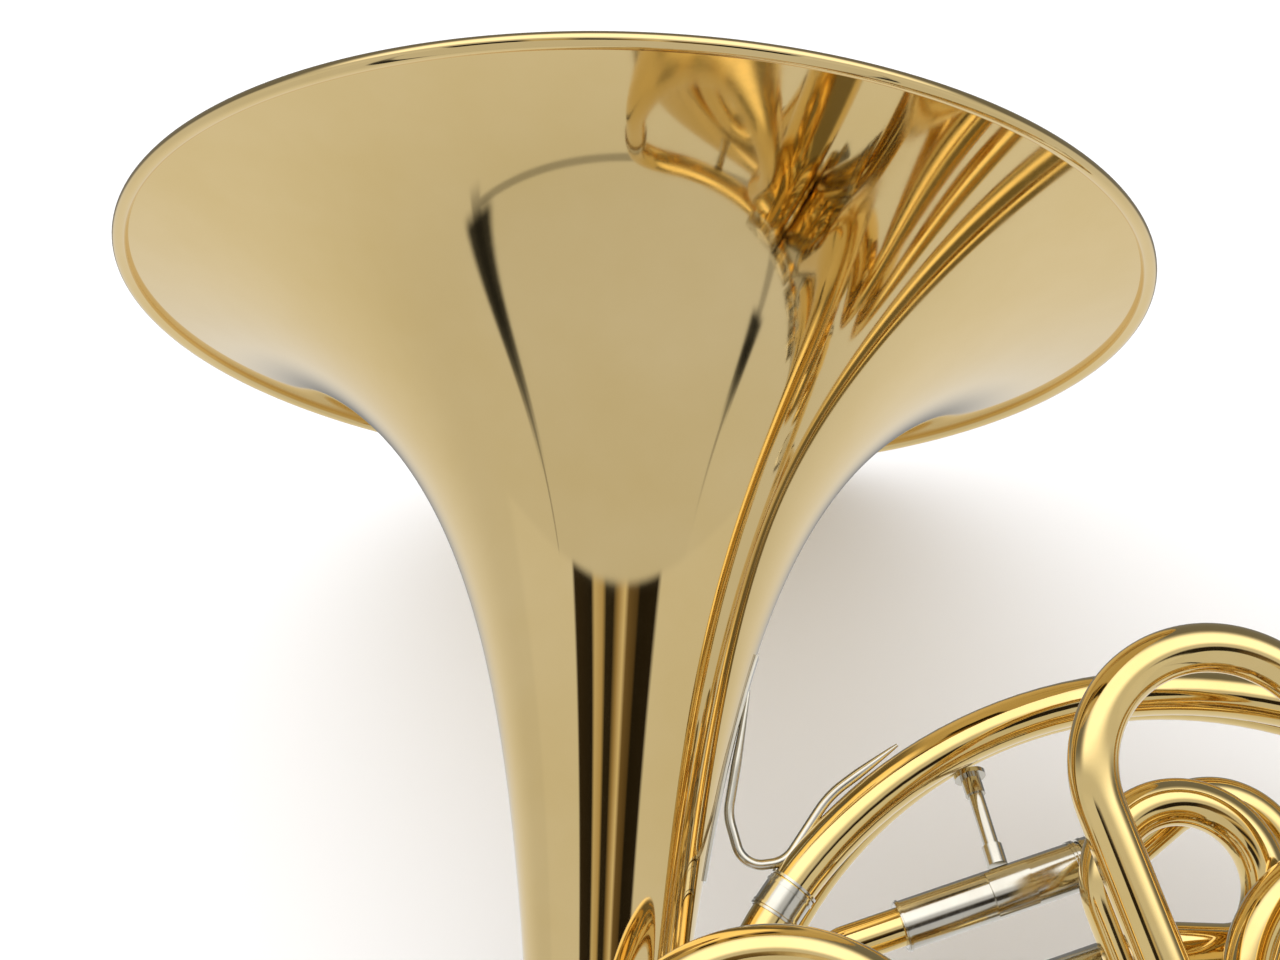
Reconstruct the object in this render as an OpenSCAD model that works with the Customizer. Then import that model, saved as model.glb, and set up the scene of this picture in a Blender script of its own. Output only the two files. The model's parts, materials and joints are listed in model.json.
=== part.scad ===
// Double horn in F and B flat with four rotary valves, a fixed bell and mechanical linkages.
// The horn is drawn in the plane of its big circle: X and Y span the circle, whose centre is the
// origin, the bell opens towards +Y and the valves stand up along +Z. lay() then puts it down on
// its bell rim and its back, the way that it rests on a table.

/* [Bell] */
// Outside diameter over the rolled rim
bell_d = 311; // [300:1:318]
// Thickness of the bell's sheet
bell_wall = 0.6; // [0.5:0.05:0.9]
// Radius of the rolled rim
rim_r = 2.1; // [1.9:0.1:2.4]
// Distance from the rim to the centre of the big circle, along the bell
bell_h = 256; // [250:1:262]

/* [Tubing] */
// Outside diameter of the main tubing
tube_d = 13; // [12.6:0.1:13.2]
// Bore of the main tubing
bore_d = 12; // [11.7:0.1:12]
// Outside diameter of the mouthpipe
mouthpipe_d = 10.8; // [10:0.1:11]
// Radius of the big circle that the bell branch follows
body_r = 141; // [139:0.5:143]

/* [Slides] */
// Wall of the outer slide tubes
sleeve_wall = 0.5; // [0.4:0.05:0.55]
// Radial clearance of the inner slide tubes in the outer ones
slide_fit = 0.05; // [0.03:0.01:0.08]
// Slope of the main tuning slide across the circle, in degrees
main_slope = 20.3; // [19:0.1:22]

/* [Valves] */
// Outside radius of a valve casing
casing_r = 17.2; // [17.2:0.1:17.4]
// Bore radius of a valve casing
casing_bore = 14.6; // [14.4:0.05:14.7]
// Radial clearance of a rotor in its casing
rotor_fit = 0.05; // [0.03:0.01:0.08]
// Distance between the three finger valves
valve_gap = 43.5; // [43:0.5:44]
// Height of the B flat tubes above the plane of the big circle
low_deck = 17; // [16.5:0.5:17.5]
// Height of the F tubes above the plane of the big circle
high_deck = 52; // [51:0.5:53]

/* [Linkage] */
// Distance from a rotor's axis to its driving pin
pin_throw = 6; // [5.8:0.1:6.2]
// Length of a finger lever's crank, from hinge to driving pin
crank_l = 36; // [35:0.5:37]
// Length of the thumb lever's short arm
thumb_crank = 21; // [20:0.5:22]
// Distance from the lever hinge to the centre of a finger plate
paddle_reach = 92; // [88:1:96]

/* [Hidden] */

brass = [0.80, 0.66, 0.36];
nickel = [0.76, 0.75, 0.71];
steel = [0.62, 0.62, 0.63];
cork = [0.70, 0.52, 0.34];

hair = 0.01;
tube_r = tube_d / 2;
bore_r = bore_d / 2;
pipe_r = mouthpipe_d / 2;
pipe_bore = pipe_r - 0.5;
leg_r = tube_r - 0.2;
sleeve_bore = leg_r + slide_fit;
sleeve_r = sleeve_bore + sleeve_wall;
ferrule_bore = tube_r + 0.02;
ferrule_r = tube_r + 0.55;

// Lean and roll of the big circle once the horn lies on its bell rim and its back, and the place
// of the circle's centre then, so that the origin is under the middle of the whole horn.
lean = 15.3;
roll = 10.2;
seat = [58.92, -39.29, 54.62];

// Bell: its axis is parallel to Y, and its flare is a power of the distance behind the rim.
bell_x = -166;
flare_shift = 51.93;
flare_power = 1.1648;
flare_base = -2.407;
flare_end = 1.1;
flare_steps = 40;
function flare_r(d) = flare_base + (bell_d / 2 - flare_base) * pow(1 + d / flare_shift, -flare_power);
function flare_slope(d) = -flare_power * (flare_r(d) - flare_base) / (flare_shift + d);
function flare_in(d) = [-1, -flare_slope(d)] / norm([1, flare_slope(d)]);
function flare_d(i) = flare_end + (bell_h - flare_end) * pow(i / flare_steps, 1.7);
function flare_skin(d, depth) = [flare_r(d), bell_h - d] + depth * flare_in(d);

// Bell tail: a taper around the bottom of the circle, from the bell's small end to the bell branch.
tail_r = (body_r - bell_x) / 2;
tail_x = (body_r + bell_x) / 2;
tail_rings = 40;
tail_sides = 24;
function tail_taper(t) = tube_r + (flare_r(bell_h) - tube_r) * pow(1 - t, 1.5);
function tail_turn(t) = 180 + 180 * t;
function tail_at(a) = [tail_x + tail_r * cos(a), tail_r * sin(a)];
function tail_y(x) = -sqrt(pow(tail_r, 2) - pow(x - tail_x, 2));

// Valves: three finger valves in a row and the change valve at their left.
valve_y = -20;
valve_x = [-10.5, -10.5 + valve_gap, -10.5 + 2 * valve_gap];
change_x = -48;
port = 10.4;
casing_low = 8;
casing_top = 61;
change_low = -9;
plate_t = 3;
stub_l = 21;
shaft_r = 3;
nose_r = 2;
bearing_fit = 0.03;
channel_off = 20.5;
channel_turn = 14.5;
channel_r = 5.9;

// Stop arms and links, measured down from the underside of a back plate.
disc_r = 7.2;
disc_top = 1.5;
disc_t = 3;
pin_r = 1.25;
pin_end = 10.5;
link_top = 7.3;
link_t = 2.5;
wing_l = 13;
cork_r = 2.5;
cork_ring = 10.5;
cork_turn = 75.5;
slot_w = 0.3;
stroke = pin_throw * sin(45);
finger_under = casing_low - plate_t;
change_under = change_low - plate_t;
link_x = (pin_throw + pin_throw * cos(45)) / 2;
finger_link_z = finger_under - link_top - link_t / 2;

// Finger levers: they hinge on a rod parallel to X and stand on a rack on the bell tail.
finger_swing = asin(stroke / crank_l);
hinge_y = -92;
hinge_z = finger_link_z + crank_l * cos(finger_swing);
hinge_r = 1.8;
hinge_fit = 0.05;
barrel_r = 3.2;
lever_x = [13, 33, 53];
barrels = [[-20, 16.5], [24.5, 37.5], [48.5, 76.5]];
post_x = [-24, 80];
rack_z = 17;

// Thumb lever: a flat lever behind the circle.
thumb_swing = asin(stroke / thumb_crank);
thumb_y = -104;
thumb_x = change_x - link_x + thumb_crank;
thumb_z = change_under - link_top + 0.3;
thumb_t = 2.5;
thumb_arm = -6;

// Main tuning slide: its first leg starts at main_start and runs up along main_dir.
main_start = [-85, 72, 0];
main_dir = [cos(main_slope), sin(main_slope), 0];
main_side = [sin(main_slope), -cos(main_slope), 0];
main_spacing = 27.8;
main_sleeve = 54;
main_bow = 62;
main_reach = 89.7;
bulb_turn = 20;
main_bulb_r = 20.3;
exit_x = change_x - port;
function main_at(s, across) = main_start + s * main_dir + across * main_side;
main_exit = [exit_x, main_at(0, main_spacing)[1] + tan(main_slope) * (exit_x - main_at(0, main_spacing)[0]), 0];

// Last turn of the bell branch, which ends under the change valve's lower port.
branch_turn = (exit_x + body_r * sin(45)) / (1 + sin(45));
branch_c = -(body_r - branch_turn) * sin(45);

// F crook, F branch and F tuning slide in the high deck.
crook_x = -122.5;
crook_y = 15.5;
crook_r = 46;
branch_y = -50;
f_branch_end = 84;
f_sleeve_end = 126;
f_bow_x = 136;
b_branch_x = 114;
b_branch_y = -62;
f_port_x = valve_x[2] + stub_l;

function unit(v) = v / norm(v);
function across(u, v) = unit(v - (u * v) * u);
function side(u) = unit(cross(u, abs(u[2]) < 0.9 ? [0, 0, 1] : [1, 0, 0]));
function turning(a, p, b) = acos(max(-1, min(1, unit(p - a) * unit(b - p))));
function cut_back(a, p, b, r) = r * tan(turning(a, p, b) / 2);

// Puts the horn down with the origin on the table, under the middle of its box.
module lay() {
  translate(seat) rotate([lean, 0, 0]) rotate([0, roll, 0]) children();
}

module ring(ro, ri) {
  difference() {
    circle(ro, $fn = 48);
    if (ri > 0) circle(ri, $fn = 48);
  }
}

// Places its children with their X, Y and Z axes along e, f and u and their origin at a.
module onto(e, f, u, a) {
  multmatrix([[e[0], f[0], u[0], a[0]], [e[1], f[1], u[1], a[1]], [e[2], f[2], u[2], a[2]], [0, 0, 0, 1]])
    children();
}

// A round bar or tube from a to b.
module straight(a, b, ro, ri = 0) {
  u = unit(b - a);
  e = side(u);
  f = cross(u, e);
  onto(e, f, u, a) linear_extrude(norm(b - a)) ring(ro, ri);
}

// The bend of radius r that rounds the corner p of the path a, p, b.
module bend(a, p, b, r, ro, ri) {
  u = unit(p - a);
  m = across(u, unit(b - p));
  w = cross(u, m);
  c = p - u * cut_back(a, p, b, r) + r * m;
  onto(-m, u, w, c) rotate_extrude(angle = turning(a, p, b), $fn = 96) translate([r, 0]) ring(ro, ri);
}

// A bent tube through pts, with the bend radius of each inner point in r. Its straight and bent
// lengths meet with a hairline between them, as they do where such a tube is brazed together.
module pipe(pts, r, ro = tube_r, ri = bore_r) {
  n = len(pts);
  cuts = [for (i = [0:n-1]) i == 0 || i == n - 1 ? 0 : cut_back(pts[i-1], pts[i], pts[i+1], r[i])];
  for (i = [0:n-2]) {
    u = unit(pts[i+1] - pts[i]);
    if (norm(pts[i+1] - pts[i]) - cuts[i] - cuts[i+1] > 0.1)
      straight(pts[i] + u * (cuts[i] + hair), pts[i+1] - u * (cuts[i+1] + hair), ro, ri);
  }
  for (i = [1:1:n-2]) bend(pts[i-1], pts[i], pts[i+1], r[i], ro, ri);
}

// A tube along an arc about c, from a0 to a1 degrees.
module arc(c, r, a0, a1, ro = tube_r, ri = bore_r) {
  translate(c) rotate([0, 0, a0])
    rotate_extrude(angle = a1 - a0, $fn = 144) translate([r, 0]) ring(ro, ri);
}

module sleeve(a, b) {
  straight(a, b, sleeve_r, sleeve_bore);
  u = unit(b - a);
  straight(b - 2 * u, b - 0.6 * u, sleeve_r + 0.45, sleeve_r + 0.02);
}

module leg(a, b) {
  straight(a, b, leg_r, bore_r - 0.1);
}

module ferrule(a, b) {
  straight(a, b, ferrule_r, ferrule_bore);
}

/* Bell and bell branch */

module bell() {
  depth = [for (i = [0:flare_steps]) flare_d(i)];
  outer = [for (d = depth) flare_skin(d, 0)];
  inner = [for (i = [flare_steps:-1:0]) flare_skin(depth[i], bell_wall)];
  color(brass) translate([bell_x, 0.02, 0]) rotate([-90, 0, 0]) rotate_extrude($fn = 180) {
    polygon(concat(outer, inner));
    translate(rim_centre) ring(rim_r, rim_r - bell_wall);
  }
}
rim_centre = [bell_d / 2 - rim_r, bell_h - flare_end - 0.1];

module rim_wire() {
  color(steel) translate([bell_x, 0.02, 0]) rotate([-90, 0, 0])
    rotate_extrude($fn = 180) translate(rim_centre) circle(rim_r - bell_wall - 0.05, $fn = 32);
}

module bell_tail() {
  function skin(depth) = [for (i = [0:tail_rings])
    let (t = i / tail_rings, a = tail_turn(t), r = tail_taper(t) - depth)
    for (j = [0:tail_sides-1]) let (b = 360 * j / tail_sides)
      [tail_x + (tail_r + r * cos(b)) * cos(a), (tail_r + r * cos(b)) * sin(a), r * sin(b)]];
  n = (tail_rings + 1) * tail_sides;
  function at(i, j) = i * tail_sides + j % tail_sides;
  outer = [for (i = [0:tail_rings-1], j = [0:tail_sides-1])
    [at(i, j), at(i + 1, j), at(i + 1, j + 1), at(i, j + 1)]];
  inner = [for (f = outer) [for (k = [3:-1:0]) f[k] + n]];
  first = [for (j = [0:tail_sides-1]) [at(0, j + 1), at(0, j + 1) + n, at(0, j) + n, at(0, j)]];
  last = [for (j = [0:tail_sides-1]) [at(tail_rings, j), at(tail_rings, j) + n,
    at(tail_rings, j + 1) + n, at(tail_rings, j + 1)]];
  color(brass) polyhedron(concat(skin(0), skin(bell_wall)), concat(outer, inner, first, last));
}

module bell_branch() {
  color(brass) {
    arc([0, 0, 0], body_r, 0.02, 225);
    arc([branch_c, branch_c, 0], branch_turn, 225.03, 360);
    straight([exit_x, branch_c + hair, 0], [exit_x, valve_y - stub_l - hair, 0], tube_r, bore_r);
  }
}

module tail_ferrule() {
  color(nickel) arc([0, 0, 0], body_r, 0.3, 4, ferrule_r + 0.3, ferrule_bore);
}

module tube_ferrules() {
  color(nickel) {
    arc([0, 0, 0], body_r, 144.8, 148, ferrule_r, ferrule_bore);
    for (a = [144.3, 148.05]) arc([0, 0, 0], body_r, a, a + 0.45, ferrule_r + 0.25, ferrule_bore);
    ferrule([exit_x, branch_c + 12, 0], [exit_x, branch_c + 20, 0]);
    ferrule([crook_x - crook_r, -10, high_deck], [crook_x - crook_r, -2, high_deck]);
    ferrule([-20, branch_y, high_deck], [-12, branch_y, high_deck]);
    ferrule([40, b_branch_y, low_deck], [48, b_branch_y, low_deck]);
    for (x = [valve_x[0] + valve_gap / 2, valve_x[1] + valve_gap / 2], z = [low_deck, high_deck])
      ferrule([x - 2, valve_y - port, z], [x + 2, valve_y - port, z]);
  }
}

/* Mouthpipe */

pipe_z = -14;
pipe_drop = 10;
pipe_start = 55;
pipe_end = body_r * [cos(pipe_start), sin(pipe_start), 0] + [0, 0, pipe_z];
pipe_out = [sin(pipe_start), -cos(pipe_start), 0];
pipe_rise = 7;
pipe_up = cos(pipe_rise) * pipe_out + [0, 0, sin(pipe_rise)];
pipe_knee = pipe_end + 15 * pipe_out;
receiver_at = 47;
receiver_l = 36;
shank_r = 4.05;
shank_in = 20;
u_turn_r = 13;
u_turn_x = pipe_drop - body_r + u_turn_r;
rise_x = u_turn_x + u_turn_r;
main_corner = [rise_x, main_start[1] + tan(main_slope) * (rise_x - main_start[0]), 0];

module mouthpipe() {
  color(brass) {
    pipe([pipe_end + hair * pipe_out, pipe_knee, pipe_knee + receiver_at * pipe_up], [0, 60, 0], pipe_r,
      pipe_bore);
    arc([0, 0, pipe_z], body_r, pipe_start, 90, pipe_r, pipe_bore);
    arc([0, pipe_drop, pipe_z], body_r - pipe_drop, 90.01, 180, pipe_r, pipe_bore);
    arc([u_turn_x, pipe_drop, pipe_z], u_turn_r, 180.05, 360, pipe_r, pipe_bore);
    pipe([[rise_x, pipe_drop, pipe_z], [rise_x, 20, pipe_z], [rise_x, 44, 0], main_corner,
      main_start - 0.3 * main_dir], [0, 18, 18, 8, 0], pipe_r, pipe_bore);
    straight(main_start - 0.3 * main_dir, main_start + 9 * main_dir, pipe_r, pipe_bore);
  }
}

module mouthpiece_receiver() {
  a = pipe_knee + receiver_at * pipe_up;
  color(nickel) {
    difference() {
      straight(a - 8 * pipe_up, a + receiver_l * pipe_up, pipe_r + 0.9);
      straight(a - 9 * pipe_up, a + 0.01 * pipe_up, pipe_r + 0.02);
      straight(a - 1 * pipe_up, a + (receiver_l + 1) * pipe_up, shank_r + slide_fit);
    }
    straight(a + (receiver_l - 5) * pipe_up, a + (receiver_l - 0.5) * pipe_up, pipe_r + 1.6, pipe_r + 0.92);
  }
}

module mouthpiece() {
  a = pipe_knee + (receiver_at + receiver_l - shank_in) * pipe_up;
  e = side(pipe_up);
  f = cross(pipe_up, e);
  color(nickel) onto(e, f, pipe_up, a) rotate_extrude($fn = 96)
    polygon([[3.2, 0], [shank_r, 0], [shank_r, 24], [4.6, 30], [5.4, 40], [7.2, 50], [9.2, 57], [10.6, 60],
      [12.4, 61], [12.9, 62.4], [12.6, 64], [11.4, 65], [9.6, 64.8], [8.7, 63.6], [8.4, 60], [6, 46], [3, 30],
      [2.3, 24], [2.6, 14]]);
}

/* Main tuning slide */

module main_slide_sleeves() {
  inlet = main_at(0.1, 0);
  color(nickel) {
    sleeve(main_at(10, 0), main_at(main_sleeve, 0));
    straight(inlet, main_at(10 - hair, 0), sleeve_r, pipe_r + 0.02);
    straight(inlet + 0.2 * main_dir, inlet + 1.4 * main_dir, sleeve_r + 0.45, sleeve_r + 0.02);
    sleeve(main_at(26.5, main_spacing), main_at(main_sleeve, main_spacing));
  }
  color(brass) pipe([[exit_x, valve_y + stub_l + hair, 0], main_exit, main_at(26.5 - hair, main_spacing)],
    [0, 10, 0]);
}

module main_slide() {
  // Corner at which each leg flares out to the bulb, as a distance along the slide.
  flare = main_bulb_r * sin(bulb_turn) + (main_bulb_r * cos(bulb_turn) - main_spacing / 2) / tan(bulb_turn);
  mid = main_start + main_reach * main_dir + main_spacing / 2 * main_side;
  color(nickel) for (s = [0, main_spacing]) {
    leg(main_at(s == 0 ? 17 : 32.5, s), main_at(main_bow, s));
    ferrule(main_at(main_bow - 7, s), main_at(main_bow, s));
  }
  color(brass) {
    for (s = [-1, 1])
      pipe([mid - (main_reach - main_bow - hair) * main_dir + s * main_spacing / 2 * main_side,
        mid - flare * main_dir + s * main_spacing / 2 * main_side,
        mid - (main_bulb_r * sin(bulb_turn) + hair) * main_dir + s * main_bulb_r * cos(bulb_turn) * main_side],
        [0, 18, 0]);
    arc(mid, main_bulb_r, main_slope - 90 - bulb_turn, main_slope + 90 + bulb_turn);
  }
}

/* Valves */

function east(o, z, l = stub_l) = [[8, o, z], [l, o, z]];
function west(o, z, l = stub_l) = [[-8, o, z], [-l, o, z]];
function north(o, z, l = stub_l) = [[o, 8, z], [o, l, z]];
function south(o, z, l = stub_l) = [[o, -8, z], [o, -l, z]];

module casing(x, low, ports) {
  color(brass) translate([x, valve_y, 0]) difference() {
    union() {
      translate([0, 0, low]) cylinder(r = casing_r, h = casing_top - low, $fn = 96);
      for (p = ports) straight(p[0], p[1], tube_r);
    }
    translate([0, 0, low - 1]) cylinder(r = casing_bore, h = casing_top - low + 2, $fn = 96);
    for (p = ports) straight(p[0] - unit(p[1] - p[0]), p[1] + unit(p[1] - p[0]), bore_r);
  }
}

half_gap = valve_gap / 2 - 0.05;
change_gap = (valve_x[0] - change_x) / 2 - 0.05;
slide_ports = [for (z = [low_deck, high_deck], o = [-port, port]) north(o, z)];

module valve_casing_1() {
  casing(valve_x[0], casing_low, concat(slide_ports, [for (z = [low_deck, high_deck])
    each [west(-port, z, change_gap), east(-port, z, half_gap)]]));
}
module valve_casing_2() {
  casing(valve_x[1], casing_low, concat(slide_ports, [for (z = [low_deck, high_deck])
    each [west(-port, z, half_gap), east(-port, z, half_gap)]]));
}
module valve_casing_3() {
  casing(valve_x[2], casing_low, concat(slide_ports, [for (z = [low_deck, high_deck]) west(-port, z, half_gap)],
    [east(-port, low_deck), east(port, high_deck)]));
}
module change_casing() {
  casing(change_x, change_low, [north(-port, 0), south(-port, 0), south(-port, low_deck),
    east(-port, low_deck, change_gap), east(-port, high_deck, change_gap), west(port, high_deck, 15.4)]);
}

module rotor(x, low, decks) {
  r = casing_bore - rotor_fit;
  shoulder = low - plate_t - disc_top + 0.1;
  color(brass) translate([x, valve_y, 0]) difference() {
    rotate_extrude($fn = 96) polygon([[0, shoulder - disc_t], [nose_r, shoulder - disc_t], [nose_r, shoulder],
      [shaft_r, shoulder], [shaft_r, low + 0.3], [r, low + 0.3], [r, casing_top - 0.3],
      [shaft_r, casing_top - 0.3], [shaft_r, casing_top + plate_t], [0, casing_top + plate_t]]);
    for (z = decks, s = [-1, 1]) translate([0, s * channel_off, z])
      rotate_extrude($fn = 96) translate([channel_turn, 0]) circle(channel_r, $fn = 48);
  }
}
module rotor_1() { rotor(valve_x[0], casing_low, [low_deck, high_deck]); }
module rotor_2() { rotor(valve_x[1], casing_low, [low_deck, high_deck]); }
module rotor_3() { rotor(valve_x[2], casing_low, [low_deck, high_deck]); }
module change_rotor() { rotor(change_x, change_low, [0, low_deck, high_deck]); }

// The stop arm clamps the rotor's lower end. Its wing swings between two corks.
module stop_arm(x, under) {
  top = under - disc_top;
  color(nickel) translate([x, valve_y, top]) {
    difference() {
      union() {
        translate([0, 0, -disc_t]) cylinder(r = disc_r, h = disc_t, $fn = 64);
        rotate([0, 0, 45]) translate([0, -2.5, -disc_t]) cube([wing_l, 5, disc_t]);
      }
      translate([0, 0, -disc_t - 1]) cylinder(r = nose_r + 0.03, h = disc_t + 2, $fn = 32);
    }
    rotate([0, 0, 225]) translate([pin_throw, 0, -(pin_end - disc_top)])
      cylinder(r = pin_r, h = pin_end - disc_top - disc_t, $fn = 32);
  }
  color(steel) translate([x, valve_y, top - disc_t - 1.5]) difference() {
    cylinder(r = 2.8, h = 1.45, $fn = 32);
    translate([-3, -0.3, -1]) cube([6, 0.6, 1.6]);
  }
}
module stop_arm_1() { stop_arm(valve_x[0], finger_under); }
module stop_arm_2() { stop_arm(valve_x[1], finger_under); }
module stop_arm_3() { stop_arm(valve_x[2], finger_under); }
module change_stop_arm() { stop_arm(change_x, change_under); }

// Centre and lowest level of each casing.
casings = concat([for (x = valve_x) [x, casing_low]], [[change_x, change_low]]);

module bearing_plates() {
  color(nickel) for (c = casings) translate([c[0], valve_y, casing_top]) difference() {
    cylinder(r = casing_r - 0.1, h = 2.5, $fn = 96);
    translate([0, 0, -1]) cylinder(r = shaft_r + bearing_fit, h = 5, $fn = 48);
  }
}

module back_plates() {
  color(nickel) for (c = casings) translate([c[0], valve_y, c[1] - plate_t]) difference() {
    cylinder(r = casing_r, h = plate_t, $fn = 96);
    translate([0, 0, -1]) cylinder(r = shaft_r + bearing_fit, h = plate_t + 2, $fn = 48);
  }
}

// Screwed caps with a knurled edge and turned rings on the face.
module valve_caps() {
  color(nickel) for (c = casings) translate([c[0], valve_y, 0]) rotate_extrude($fn = 96)
    polygon([[casing_r + 0.05, 59.4], [18.1, 59.4], [18.1, 60.4], [17.8, 60.8], [17.8, 64.6], [18.1, 65],
      [18.1, 66.2], [17.4, 67.2], [12, 67.6], [11.6, 67.2], [10.8, 67.2], [10.4, 67.8], [6, 68], [5.4, 67.6],
      [4.8, 68.4], [0, 68.6], [0, 66], [casing_r + 0.05, 66]]);
}

module stop_corks() {
  color(cork) for (c = casings, s = [-1, 1]) translate([c[0], valve_y, c[1] - plate_t - 5])
    rotate([0, 0, s * cork_turn]) translate([cork_ring, 0, 0]) cylinder(r = cork_r, h = 5, $fn = 32);
}

/* Valve slides: a pair of legs at port spacing, which flare out to a round bulb. */

module sleeves(x, deck, l) {
  for (s = [-1, 1])
    sleeve([x + s * port, valve_y + stub_l + hair, deck], [x + s * port, valve_y + stub_l + l, deck]);
}
sleeve_l = [[32, 37], [17, 16], [50, 38]];
module slide_sleeves(i) {
  color(nickel) {
    sleeves(valve_x[i], high_deck, sleeve_l[i][0]);
    sleeves(valve_x[i], low_deck, sleeve_l[i][1]);
  }
}
module slide_sleeves_1() { slide_sleeves(0); }
module slide_sleeves_2() { slide_sleeves(1); }
module slide_sleeves_3() { slide_sleeves(2); }

module slide_legs(x, deck, l) {
  y = valve_y + stub_l;
  color(nickel) for (s = [-1, 1]) {
    leg([x + s * port, y + 3, deck], [x + s * port, y + l + 6, deck]);
    ferrule([x + s * port, y + l + 1, deck], [x + s * port, y + l + 6, deck]);
  }
}

// A bulb of radius r whose centre is at height y, on legs that leave their ferrules at leg_y.
module bulb(x, y, deck, r, leg_y) {
  flare = y - r * sin(bulb_turn) - (r * cos(bulb_turn) - port) / tan(bulb_turn);
  color(brass) {
    for (s = [-1, 1])
      pipe([[x + s * port, leg_y + hair, deck], [x + s * port, flare, deck],
        [x + s * r * cos(bulb_turn), y - r * sin(bulb_turn) - hair, deck]], [0, 18, 0]);
    arc([x, y, deck], r, -bulb_turn, 180 + bulb_turn);
  }
}

module u_bow(x, y, deck, leg_y) {
  color(brass) {
    for (s = [-1, 1])
      straight([x + s * port, leg_y + hair, deck], [x + s * port, y - hair, deck], tube_r, bore_r);
    arc([x, y, deck], port, 0, 180);
  }
}

module f_slide_1() {
  slide_legs(valve_x[0], high_deck, sleeve_l[0][0]);
  bulb(valve_x[0], 110, high_deck, 32.5, valve_y + stub_l + sleeve_l[0][0] + 6);
}
module b_slide_1() {
  slide_legs(valve_x[0], low_deck, sleeve_l[0][1]);
  bulb(valve_x[0], 85, low_deck, 22, valve_y + stub_l + sleeve_l[0][1] + 6);
}

// The second valve's F slide dips between the two decks and opens into a wide bow there.
dip_z = 34.5;
dip_r = 34;
dip_y = 57;
dip_turn = 15;
module f_slide_2() {
  x = valve_x[1];
  y = valve_y + stub_l + sleeve_l[1][0] + 6;
  tip = [dip_r * cos(dip_turn), dip_y - dip_r * sin(dip_turn)];
  slide_legs(x, high_deck, sleeve_l[1][0]);
  color(brass) {
    for (s = [-1, 1])
      pipe([[x + s * port, y + hair, high_deck], [x + s * port, y + 9.5, high_deck],
        [x + s * (tip[0] - 12 * sin(dip_turn)), tip[1] - 12 * cos(dip_turn), dip_z],
        [x + s * tip[0], tip[1] - hair, dip_z]], [0, 10, 10, 0]);
    arc([x, dip_y, dip_z], dip_r, -dip_turn, 180 + dip_turn);
  }
}
module b_slide_2() {
  slide_legs(valve_x[1], low_deck, sleeve_l[1][1]);
  u_bow(valve_x[1], valve_y + stub_l + sleeve_l[1][1] + 8, low_deck, valve_y + stub_l + sleeve_l[1][1] + 6);
}
module f_slide_3() {
  slide_legs(valve_x[2], high_deck, sleeve_l[2][0]);
  u_bow(valve_x[2], 92, high_deck, valve_y + stub_l + sleeve_l[2][0] + 6);
}
module b_slide_3() {
  slide_legs(valve_x[2], low_deck, sleeve_l[2][1]);
  u_bow(valve_x[2], 66, low_deck, valve_y + stub_l + sleeve_l[2][1] + 6);
}

/* F side and B flat side tubing */

module f_crook() {
  right = crook_x + crook_r;
  left = crook_x - crook_r;
  y = valve_y + port;
  color(brass) {
    pipe([[right, crook_y - hair, high_deck], [right, y, high_deck], [change_x - 15.4 - hair, y, high_deck]],
      [0, 12.9, 0]);
    arc([crook_x, crook_y, high_deck], crook_r, 0, 180);
    straight([left, crook_y - hair, high_deck], [left, -6, high_deck], tube_r, bore_r);
  }
}

module f_branch() {
  left = crook_x - crook_r;
  color(brass) pipe([[left, -6.1, high_deck], [left, branch_y, high_deck], [f_branch_end, branch_y, high_deck]],
    [0, 31.5, 0]);
}

module f_tuning_sleeves() {
  color(nickel) {
    sleeve([f_port_x + hair, valve_y + port, high_deck], [f_sleeve_end, valve_y + port, high_deck]);
    sleeve([f_branch_end + hair, branch_y, high_deck], [f_sleeve_end, branch_y, high_deck]);
  }
}

module f_tuning_slide() {
  y = [valve_y + port, branch_y];
  r = (y[0] - y[1]) / 2;
  knob = [f_bow_x + r + tube_r, y[1] + r, high_deck];
  color(nickel) {
    for (k = y) {
      leg([f_port_x + 4, k, high_deck], [f_bow_x, k, high_deck]);
      ferrule([f_bow_x - 6, k, high_deck], [f_bow_x, k, high_deck]);
    }
    straight(knob + [0.1, 0, 0], knob + [4, 0, 0], 1.6);
    straight(knob + [4, 0, 0], knob + [6, 0, 0], 4);
  }
  color(brass) arc([f_bow_x + hair, y[1] + r, high_deck], r, -90, 90);
}

module b_branch() {
  x = valve_x[2] + stub_l + hair;
  color(brass) pipe([[x, valve_y - port, low_deck], [b_branch_x, valve_y - port, low_deck],
    [b_branch_x, b_branch_y, low_deck], [exit_x, b_branch_y, low_deck],
    [exit_x, valve_y - stub_l - hair, low_deck]], [0, 15.7, 15.7, 14, 0]);
}

/* Braces */

// A leaf on the bell's flank, bent to the flare.
module bell_brace_plate() {
  depth = [for (i = [0:12]) 110 + i * 64 / 12];
  color(nickel) translate([bell_x, 0.02, 0]) rotate([-90, 0, 0]) rotate([0, 0, -9])
    rotate_extrude(angle = 18, $fn = 180) polygon(concat([for (d = depth) flare_skin(d, -0.05)],
      [for (i = [12:-1:0]) flare_skin(depth[i], -0.85)]));
}

// A rod that hangs down from the leaf, hooks round under the bell and runs up along the branch.
bell_brace_path = [[-128.2, 137, 0], [-133.5, 101, 0], [-129, 86.5, 0], [-117, 88.5, 0], [-105, 107.5, 0],
  [-85.5, 122.6, 0]];
module bell_brace() {
  color(nickel) pipe(bell_brace_path, [0, 14, 7, 9, 30, 0], 1.5, 0);
}

// A round post with a foot and a collar at each end.
module post(a, b, r = 2.2, foot = 5) {
  u = unit(b - a);
  straight(a, a + 1.2 * u, foot);
  straight(a + 1.2 * u, a + 7 * u, r + 0.9);
  straight(a + 7 * u, b - 7 * u, r);
  straight(b - 7 * u, b - 1.2 * u, r + 0.9);
  straight(b - 1.2 * u, b, foot);
}

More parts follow.
